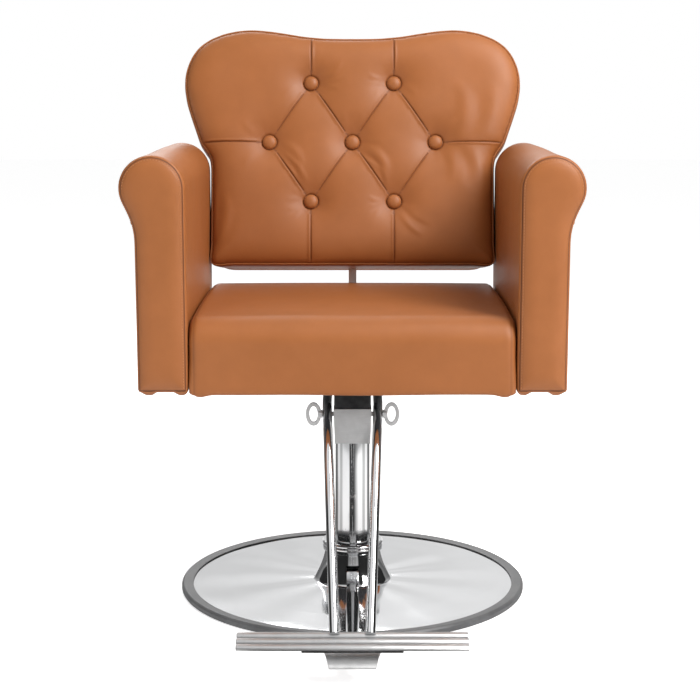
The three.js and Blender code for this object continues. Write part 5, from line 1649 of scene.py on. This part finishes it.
class CHAIR_OT_base(bpy.types.Operator):
    """Builds the round base's pressed chrome cover and its dark trim ring"""

    bl_idname = "chair.base"
    bl_label = "Round Base"

    def execute(self, context):
        ring_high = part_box("base_trim_ring")[1]
        plate_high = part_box("base_plate")[1]
        cover_low, cover_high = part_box("base_cover")
        radius, top = ring_high.x, ring_high.z
        rise = 4.7 * MM
        inner = radius - 20 * MM
        foot = plate_high.x + 0.3 * MM
        lip = cover_low.z + 2.7 * MM
        section = [
            (foot, 0.0),
            (radius - 2 * MM, 0.0),
            (radius, 2.5 * MM),
            (radius, top - 3.5 * MM),
            (radius - 4 * MM, top),
            (inner, lip + 1.8 * MM),
            (inner, lip),
            (foot, lip),
        ]
        ring = turned("base_trim", rounded(section, 1.4 * MM, 4), finish_of("trim"), 192, math.radians(50))
        settle(ring, "base", ["base_trim_ring"])
        edge, hole = cover_high.x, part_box("pump_cylinder")[1].x + 4 * MM
        floor, skin = cover_low.z, 2 * MM
        hub, shoulder = hole + 32 * MM, radius * 0.67

        def height(r):
            outer = (edge - r) / (edge - shoulder) * rise / 2
            return outer if r > shoulder else rise / 2 + (shoulder - r) / (shoulder - hub) * rise / 2

        radii = [hole, hub - 4 * MM, hub + 4 * MM, *np.linspace(hub + 14 * MM, shoulder - 14 * MM, 12)]
        radii += [shoulder - 5 * MM, shoulder, shoulder + 5 * MM]
        radii += [*np.linspace(shoulder + 12 * MM, edge - 4 * MM, 7), edge]
        heights = [min(height(r), rise) for r in radii]
        under = [(r, floor + h) for r, h in zip(radii, heights)]
        over = [(r, floor + skin + h) for r, h in zip(radii, heights)][::-1]
        cover = turned("base_dish", under + over, finish_of("cover_chrome"), 192, math.radians(40))
        for vertex in cover.data.vertices:
            x, y = vertex.co.x, vertex.co.y
            r, turn = math.hypot(x, y), math.atan2(x, -y)
            reach = smooth_step((r - hole) / (14 * MM)) * smooth_step((edge - r) / (26 * MM))
            wave = math.sin(11 * turn + 0.6) + 0.5 * math.sin(7 * turn + 2.1)
            vertex.co.z += 0.45 * MM * (1.5 + wave) * reach
        settle(cover, "base", ["base_cover"])
        return {"FINISHED"}


class CHAIR_OT_pump(bpy.types.Operator):
    """Builds the cone and collar at the column's foot, the column, its gland and the ram"""

    bl_idname = "chair.pump"
    bl_label = "Pump and Column"

    def execute(self, context):
        low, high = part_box("hub_cone")
        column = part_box("pump_cylinder")[1].x
        foot, top = high.x, column + 17 * MM
        wall = 3 * MM
        outer = []
        for t in np.linspace(0, 1, 22):
            radius = foot + (top - foot) * t - 2.5 * MM * math.sin(math.pi * t)
            outer.append((radius, low.z + (high.z - low.z) * t))
        inner = [(r - wall, z) for r, z in outer][::-1]
        lip = [(outer[0][0], outer[0][1] + 1.2 * MM), *outer[1:-1], (outer[-1][0] - 0.8 * MM, outer[-1][1])]
        shell_outline = [(outer[0][0] - 1.2 * MM, outer[0][1]), *lip, *inner]
        cone = turned("column_cone", shell_outline, finish_of("chrome"))
        node = frame["nodes"]["hub_cone"].data
        half = 11.5 * MM
        edge = [v.co for v in node.vertices if abs(abs(v.co.x) - half) < 0.2 * MM]
        front = [co for co in edge if co.y < -column - 1 * MM]
        slot_z = [v.z for v in front if low.z + 5 * MM < v.z < high.z - 5 * MM]
        slotted(cone, (-half, -foot - 10 * MM, min(slot_z)), (half, -column, max(slot_z)))
        settle(cone, "base", ["hub_cone"])

        low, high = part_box("hub_collar")
        reach, bore = high.x, column + 0.3 * MM
        groove = low.z + (high.z - low.z) * 0.5
        section = [(bore, low.z), (reach, low.z), (reach, groove - 0.6 * MM), (reach - 0.7 * MM, groove)]
        section += [(reach, groove + 0.6 * MM), (reach, high.z - 2.5 * MM)]
        section += [(reach - 2.5 * MM, high.z), (bore, high.z)]
        collar = turned("column_collar", rounded(section, 0.8 * MM, 3), finish_of("chrome"))
        settle(collar, "base", ["hub_collar"])

        low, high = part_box("pump_cylinder")
        bore = column - 5 * MM
        section = [(bore, low.z), (column, low.z), (column, high.z), (bore, high.z)]
        shaft = turned("column_tube", rounded(section, 0.6 * MM, 3), finish_of("chrome"))
        settle(shaft, "base", ["pump_cylinder"])

        low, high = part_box("gland_bush")
        ram_low, ram_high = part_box("ram")
        ram = ram_high.x
        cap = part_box("pump_cylinder")[1].z + 0.3 * MM
        section = [(ram + 0.3 * MM, low.z), (bore - 0.3 * MM, low.z), (bore - 0.3 * MM, cap), (column, cap)]
        section += [(column, high.z - 2 * MM), (column - 2 * MM, high.z), (ram + 0.3 * MM, high.z)]
        bush = turned("column_gland", rounded(section, 0.7 * MM, 3), finish_of("black"))
        settle(bush, "base", ["gland_bush"])

        section = [(0.0, ram_low.z), (ram, ram_low.z), (ram, ram_high.z), (0.0, ram_high.z)]
        rod = turned("column_ram", rounded(section, 1.0 * MM, 3), finish_of("chrome"))
        settle(rod, "piston", ["ram"])
        return {"FINISHED"}


class CHAIR_OT_pedal(bpy.types.Operator):
    """Builds the pump pedal and its lever with rounded edges"""

    bl_idname = "chair.pedal"
    bl_label = "Pump Pedal"

    def execute(self, context):
        lever = refined("pump_lever", "pedal_lever", finish_of("chrome"), 1.6 * MM, 4)
        settle(lever, "pedal", ["pedal_lever"])
        pedal = refined("pump_pedal", "pedal_plate", finish_of("pedal"), 1.8 * MM, 4, math.radians(24))
        settle(pedal, "pedal", ["pedal_plate"])
        spring = refined("pump_spring", "pedal_return_spring", finish_of("zinc"), 0.12 * MM, 1)
        settle(spring, "base", ["pedal_return_spring"])
        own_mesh(spring)
        return {"FINISHED"}


# ------------------------------------------------------------------ footrest and its clamp


TREAD_TILT = math.radians(22)
TREAD_DEPTH = 38 * MM
TREAD_THICKNESS = 6 * MM
TREAD_LANDS = 3
LAND_CROWN = 2.0 * MM
GROOVE_WIDTH = 1.7 * MM
GROOVE_FLOOR = -0.6 * MM  # from the middle of the tread's thickness
PLATE_FOLD = -4.8 * MM  # along the plate's normal, from the middle of the tread
PLATE_DROP = 4.5 * MM


class CHAIR_OT_footrest(bpy.types.Operator):
    """Builds the T-bar: its two bent rods, the ribbed tread and the plate under it"""

    bl_idname = "chair.footrest"
    bl_label = "Footrest"

    def execute(self, context):
        for name, side in SIDES:
            self.rod(name, side)
        self.tread()
        plate = refined("footrest_plate", "footrest_mount_plate", finish_of("black"), 0.7 * MM, 3)
        self.fold_down(plate)
        settle(plate, "footrest", ["footrest_mount_plate"])
        return {"FINISHED"}

    def rod(self, name, side):
        """A round bar from the tread up to the clamp, then bent back to its heel."""
        low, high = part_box("footrest_rod_right")
        pivot = Vector(next(j for j in frame["joints"] if j["name"] == "footrest_tilt")["pos_m"])
        vertices = node_points("footrest_rod_right")
        foot_ring = vertices[vertices[:, 2] < low.z + 8 * MM]
        heel_ring = vertices[vertices[:, 1] > high.y - 5 * MM]
        foot = Vector(foot_ring.mean(0))
        radius = float(heel_ring[:, 0].max() - heel_ring[:, 0].min()) / 2
        top_x = float(heel_ring[:, 0].max() + heel_ring[:, 0].min()) / 2
        hinge = Vector((top_x, pivot.y, pivot.z))
        slope = (hinge - foot).normalized()
        shoulder = hinge + slope * radius
        heel_z = high.z - radius
        corner = shoulder + slope * ((heel_z - shoulder.z) / slope.z)
        heel = Vector((top_x, high.y, heel_z))
        line = [foot.lerp(shoulder, t) for t in np.linspace(0, 1, 14).tolist()]
        line += bezier((shoulder, corner, heel), np.linspace(0, 1, 22).tolist()[1:])
        line = [Vector((x * side, y, z)) for x, y, z in line]
        chrome = finish_of("chrome")
        bar = make_object(f"footrest_bar_{name}", *tube(line, radius, 40), chrome, sharp_angle=math.radians(40))
        settle(bar, "footrest", [f"footrest_rod_{name}"])

    def fold_down(self, plate):
        """Gives the plate its depth below the tread."""
        low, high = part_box("footrest_tread")
        middle = (low + high) / 2
        normal = Vector((0, -math.sin(TREAD_TILT), math.cos(TREAD_TILT)))
        for vertex in plate.data.vertices:
            if (vertex.co - middle).dot(normal) < PLATE_FOLD:
                vertex.co -= normal * PLATE_DROP

    def tread_section(self):
        """The tread's end view: crowned lands with grooves between them, on a flat back."""
        rear, top = TREAD_DEPTH / 2, TREAD_THICKNESS / 2
        pitch = TREAD_DEPTH / TREAD_LANDS
        side_top, side_foot = top - 2.4 * MM, 0.8 * MM - top
        section = [(rear, side_foot), (rear, side_top)]
        for land in range(TREAD_LANDS - 1, -1, -1):
            start = -rear + land * pitch + (GROOVE_WIDTH / 2 if land else 0.4 * MM)
            stop = -rear + (land + 1) * pitch - (GROOVE_WIDTH / 2 if land < TREAD_LANDS - 1 else 0.4 * MM)
            for t in np.linspace(1, 0, 15).tolist():
                section.append((start + (stop - start) * t, top - LAND_CROWN * abs(2 * t - 1) ** 2.6))
            if land:
                section += [(start, GROOVE_FLOOR), (start - GROOVE_WIDTH, GROOVE_FLOOR)]
        section += [(-rear, side_top), (-rear, side_foot)]
        return section + [(-rear + 0.8 * MM, -top), (rear - 0.8 * MM, -top)]

    def tread(self):
        """The tread along its whole length, its ends drawn in a little."""
        low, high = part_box("footrest_tread")
        middle = (low + high) / 2
        section = self.tread_section()
        count = len(section)
        ends = [(low.x, 1.2 * MM), (low.x + 0.5 * MM, 0.4 * MM), (low.x + 1.2 * MM, 0.0)]
        ends += [(-x, drawn) for x, drawn in reversed(ends)]
        vertices = []
        for x, drawn in ends:
            for y, z in section:
                y, z = y * (1 - 2 * drawn / TREAD_DEPTH), z * (1 - 2 * drawn / TREAD_THICKNESS)
                back = y * math.cos(TREAD_TILT) - z * math.sin(TREAD_TILT)
                raised = y * math.sin(TREAD_TILT) + z * math.cos(TREAD_TILT)
                vertices.append((x, middle.y + back, middle.z + raised))
        rings = [list(range(r * count, (r + 1) * count)) for r in range(len(ends))]
        faces = [*bands(rings), rings[0][::-1], rings[-1]]
        sharp = math.radians(38)
        tread = make_object("footrest_tread_bar", vertices, faces, finish_of("tread"), sharp_angle=sharp)
        settle(tread, "footrest", ["footrest_tread"])


class CHAIR_OT_clamp(bpy.types.Operator):
    """Builds the clamp block, the hanger, the cross bolt, the frame under the seat and the stay"""

    bl_idname = "chair.clamp"
    bl_label = "Clamp and Seat Frame"

    def execute(self, context):
        pieces = (
            ("clamp", "clamp_block", "clamp", 1.2, "seat"),
            ("clamp_hanger", "footrest_hanger", "black", 2.0, "seat"),
            ("clamp_cross_bolt", "cross_bolt", "zinc", 0.5, "seat"),
            ("under_seat_frame", "seat_frame", "black", 1.0, "seat"),
            ("backrest_stay", "back_stay", "pedal", 0.9, "seat"),
            ("clamp_nut_left", "ring_nut_left", "pedal", 1.8, "ring_nut_left"),
            ("clamp_nut_right", "ring_nut_right", "pedal", 1.8, "ring_nut_right"),
        )
        for name, node, finish, bevel, body in pieces:
            piece = refined(name, node, finish_of(finish), bevel * MM, 3)
            settle(piece, body, [node])
        return {"FINISHED"}


class CHAIR_OT_fasteners(bpy.types.Operator):
    """Builds the bolt heads under the seat by Geometry Nodes, and gives the hidden parts their finishes"""

    bl_idname = "chair.fasteners"
    bl_label = "Fasteners"

    def execute(self, context):
        for node, finish in HIDDEN_FINISHES.items():
            materials = frame["nodes"][node].data.materials
            for index in range(len(materials)):
                materials[index] = finish_of(finish)
            if not materials:
                materials.append(finish_of(finish))
        bolts = [f"{place}_bolt_{i}" for place in ("seat", "arm") for i in range(1, 5)]
        self.row("seat_bolts", [*bolts, "stay_foot_bolt"])
        return {"FINISHED"}

    def row(self, name, nodes):
        """Bolts driven upwards, their heads underneath."""
        boxes = [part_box(node) for node in nodes]
        groups = {}
        for node, (low, high) in zip(nodes, boxes):
            groups.setdefault(round(high.z - low.z, 4), []).append((node, low, high))
        for index, (tall, members) in enumerate(sorted(groups.items()), 1):
            low, high = members[0][1:]
            head = 4.2 * MM
            washer = head * 0.22
            shank_length = tall - head - 0.3 * MM
            spots = [((l.x + h.x) / 2, (l.y + h.y) / 2, l.z + head) for _, l, h in members]
            obj = grown(
                f"{name}_{index}",
                spots,
                [],
                screw_tree(),
                finish_of("zinc"),
                Head_Radius=(high.y - low.y) / 2 * 0.99,
                Head_Height=head - washer,
                Washer_Radius=(high.y - low.y) / 2 * 0.99,
                Shank_Radius=(high.x - low.x) / 2 * 0.55,
                Shank_Length=shank_length,
                Facing=Euler((math.pi, 0, 0)),
            )
            mark_sharp(obj.data, math.radians(30))
            settle(obj, "seat", [node for node, _, _ in members])


# ------------------------------------------------------------------ studio


# From, to, softness at each end and depth of each dark sector, in degrees round from the front.
STUDIO_BANDS = (
    (-20, 27, 4.0, 34.0, 0.97),
    (66, 90, 8.0, 8.0, 0.55),
    (112, 150, 6.0, 6.0, 0.85),
    (-150, -112, 6.0, 6.0, 0.85),
    (-90, -68, 8.0, 8.0, 0.50),
)
HIGH_BANDS = ((20, 124, 8.0, 10.0, 0.97), (-124, -14, 10.0, 8.0, 0.97))
MIRRORED_LIGHT = 0.86
DIFFUSE_LIGHT = 0.38


def studio_bands(w, x, y, bands=STUDIO_BANDS):
    """How dark the surroundings are in the direction (x, y) from the chair."""
    turn = w.math("ARCTAN2", x, w.times(y, -1.0))
    total = None
    for band in bands:
        low, high, soft_low, soft_high = (math.radians(v) for v in band[:4])
        rising = w.span(turn, low - soft_low / 2, low + soft_low / 2)
        falling = w.span(turn, high - soft_high / 2, high + soft_high / 2, 1.0, 0.0)
        sector = w.times(w.times(rising, falling), band[4])
        total = sector if total is None else w.math("MAXIMUM", total, sector)
    return total


class CHAIR_OT_studio(bpy.types.Operator):
    """Sets up the pale floor, the soft lights, the surroundings that the chrome mirrors and the camera"""

    bl_idname = "chair.studio"
    bl_label = "Studio"

    def execute(self, context):
        scene = context.scene
        self.floor()
        self.world(scene)
        self.lamp("key_light", (2.3, -2.1, 2.5), (0.0, 0.0, 0.6), 82.0, 1.2, (1.0, 0.99, 0.97))
        fill_place = (-2.5, -2.4, 1.6)
        self.lamp("fill_light", fill_place, (0.0, 0.0, 0.5), 22.0, 1.8, (0.98, 0.99, 1.0), mirrored=False)
        self.lamp("over_light", (1.3, -0.9, 2.7), (-0.1, 0.0, 0.5), 38.0, 1.1, (1.0, 0.99, 0.98))
        self.lamp("back_light", (-0.6, 2.4, 2.4), (0.0, 0.0, 0.4), 40.0, 2.0, (1.0, 1.0, 1.0))
        data = bpy.data.cameras.new("Camera")
        data.lens, data.sensor_width, data.shift_x = 83.1, 36.0, -0.0036
        camera = bpy.data.objects.new("Camera", data)
        camera.location = (0.0, -2.722, 0.882)
        camera.rotation_euler = (math.radians(80.26), 0.0, 0.0)
        scene.collection.objects.link(camera)
        scene.camera = camera
        scene.view_settings.view_transform = "Standard"
        return {"FINISHED"}

    def floor(self):
        """A pale floor, darker in sectors round the chair for mirrored rays only."""
        material, w, shader = new_material("Studio floor", Specular_IOR_Level=0.1, Emission_Strength=0.62)
        where = w.place()
        cloud = w.noise(where, 3.0, 3.0)
        parts = w.put("ShaderNodeSeparateXYZ", {0: where}).outputs
        path = w.put("ShaderNodeLightPath").outputs
        away = w.put("ShaderNodeVectorMath", {0: where}, operation="LENGTH").outputs["Value"]
        bands = w.times(studio_bands(w, parts["X"], parts["Y"]), w.span(away, 0.18, 0.26))
        shade = w.times(w.math("MAXIMUM", bands, 0.14), path["Is Glossy Ray"])
        glow = w.span(path["Is Camera Ray"], 0.0, 1.0, 0.25, 1.0)
        pale = w.mix(cloud, (0.92, 0.92, 0.92), (0.95, 0.95, 0.95))
        feed(
            w,
            shader,
            Base_Color=w.mix(shade, pale, (0.012, 0.012, 0.013)),
            Emission_Color=w.mix(w.times(w.math("SUBTRACT", 1.0, shade), glow), (0.0,) * 3, (1.0,) * 3),
            Roughness=w.span(cloud, 0.3, 0.7, 0.75, 0.9),
        )
        half, z = 14.0, -0.0004
        corners = [(-half, -half, z), (half, -half, z), (half, half, z), (-half, half, z)]
        make_object("studio_floor", corners, [(0, 1, 2, 3)], material, smooth=False)

    def world(self, scene):
        """A bright room; what the chrome mirrors has dark sectors round the chair."""
        world = bpy.data.worlds.new("Studio")
        world.use_nodes = True
        scene.world = world
        w = Wiring(world.node_tree)
        background = world.node_tree.nodes["Background"]
        where = w.put("ShaderNodeTexCoord").outputs["Generated"]
        parts = w.put("ShaderNodeSeparateXYZ", {0: where}).outputs
        raised = w.span(parts["Z"], 0.0, 0.6, 1.0, 0.3)
        shade = w.times(studio_bands(w, parts["X"], parts["Y"]), raised)
        belt = w.times(w.span(parts["Z"], 0.05, 0.14), w.span(parts["Z"], 0.60, 0.80, 1.0, 0.0))
        high = w.times(studio_bands(w, parts["X"], parts["Y"], HIGH_BANDS), belt)
        cloud = w.span(w.noise(where, 3.2, 2.0, 0.5), 0.35, 0.65, 0.80, 1.04)
        level = w.times(w.math("SUBTRACT", 1.0, w.math("MAXIMUM", shade, high)), cloud)
        level = w.times(level, MIRRORED_LIGHT)
        path = w.put("ShaderNodeLightPath").outputs
        plain = w.span(path["Is Camera Ray"], 0.0, 1.0, DIFFUSE_LIGHT, 1.0)
        seen = {0: path["Is Glossy Ray"], 2: plain, 3: level}
        value = w.made("ShaderNodeMix", seen, data_type="FLOAT")
        tint = w.made("ShaderNodeCombineColor", {0: value, 1: value, 2: value})
        w.tree.links.new(tint, background.inputs["Color"])
        background.inputs["Strength"].default_value = 1.0

    def lamp(self, name, place, target, energy, size, tone, mirrored=True):
        data = bpy.data.lights.new(name, "AREA")
        data.energy, data.size, data.color = energy, size, tone
        lamp = bpy.data.objects.new(name, data)
        lamp.location = place
        aim = Vector(target) - Vector(place)
        lamp.rotation_euler = aim.to_track_quat("-Z", "Y").to_euler()
        lamp.visible_glossy = mirrored
        bpy.context.scene.collection.objects.link(lamp)


# ------------------------------------------------------------------ panel and run

STEPS = (
    ("chair.backrest", "Tufted Backrest"),
    ("chair.buttons", "Covered Buttons"),
    ("chair.arms", "Rolled Arms"),
    ("chair.seat", "Seat"),
    ("chair.base", "Round Base"),
    ("chair.pump", "Pump and Column"),
    ("chair.pedal", "Pump Pedal"),
    ("chair.footrest", "Footrest"),
    ("chair.clamp", "Clamp and Seat Frame"),
    ("chair.fasteners", "Fasteners"),
    ("chair.studio", "Studio"),
)


class CHAIR_PT_builder(bpy.types.Panel):
    """Lists the chair's sizes, colours and steps"""

    bl_idname = "CHAIR_PT_builder"
    bl_label = "Styling Chair"
    bl_space_type = "VIEW_3D"
    bl_region_type = "UI"
    bl_category = "Styling Chair"

    def draw(self, context):
        steps = self.layout.column(align=True)
        for identifier, label in STEPS:
            steps.operator(identifier, text=label)
        for group in (context.scene.chair_sizes, context.scene.chair_colours):
            box = self.layout.column(align=True)
            for name in group.__annotations__:
                box.prop(group, name)


CLASSES = (
    ChairSizes,
    ChairColours,
    CHAIR_OT_backrest,
    CHAIR_OT_buttons,
    CHAIR_OT_arms,
    CHAIR_OT_seat,
    CHAIR_OT_base,
    CHAIR_OT_pump,
    CHAIR_OT_pedal,
    CHAIR_OT_footrest,
    CHAIR_OT_clamp,
    CHAIR_OT_fasteners,
    CHAIR_OT_studio,
    CHAIR_PT_builder,
)


def register():
    for cls in CLASSES:
        bpy.utils.register_class(cls)
    bpy.types.Scene.chair_sizes = PointerProperty(type=ChairSizes)
    bpy.types.Scene.chair_colours = PointerProperty(type=ChairColours)


def unregister():
    del bpy.types.Scene.chair_colours
    del bpy.types.Scene.chair_sizes
    for cls in reversed(CLASSES):
        bpy.utils.unregister_class(cls)


def main():
    register()
    for identifier, _ in STEPS:
        family, name = identifier.split(".")
        getattr(getattr(bpy.ops, family), name)()


if __name__ == "__main__":
    main()
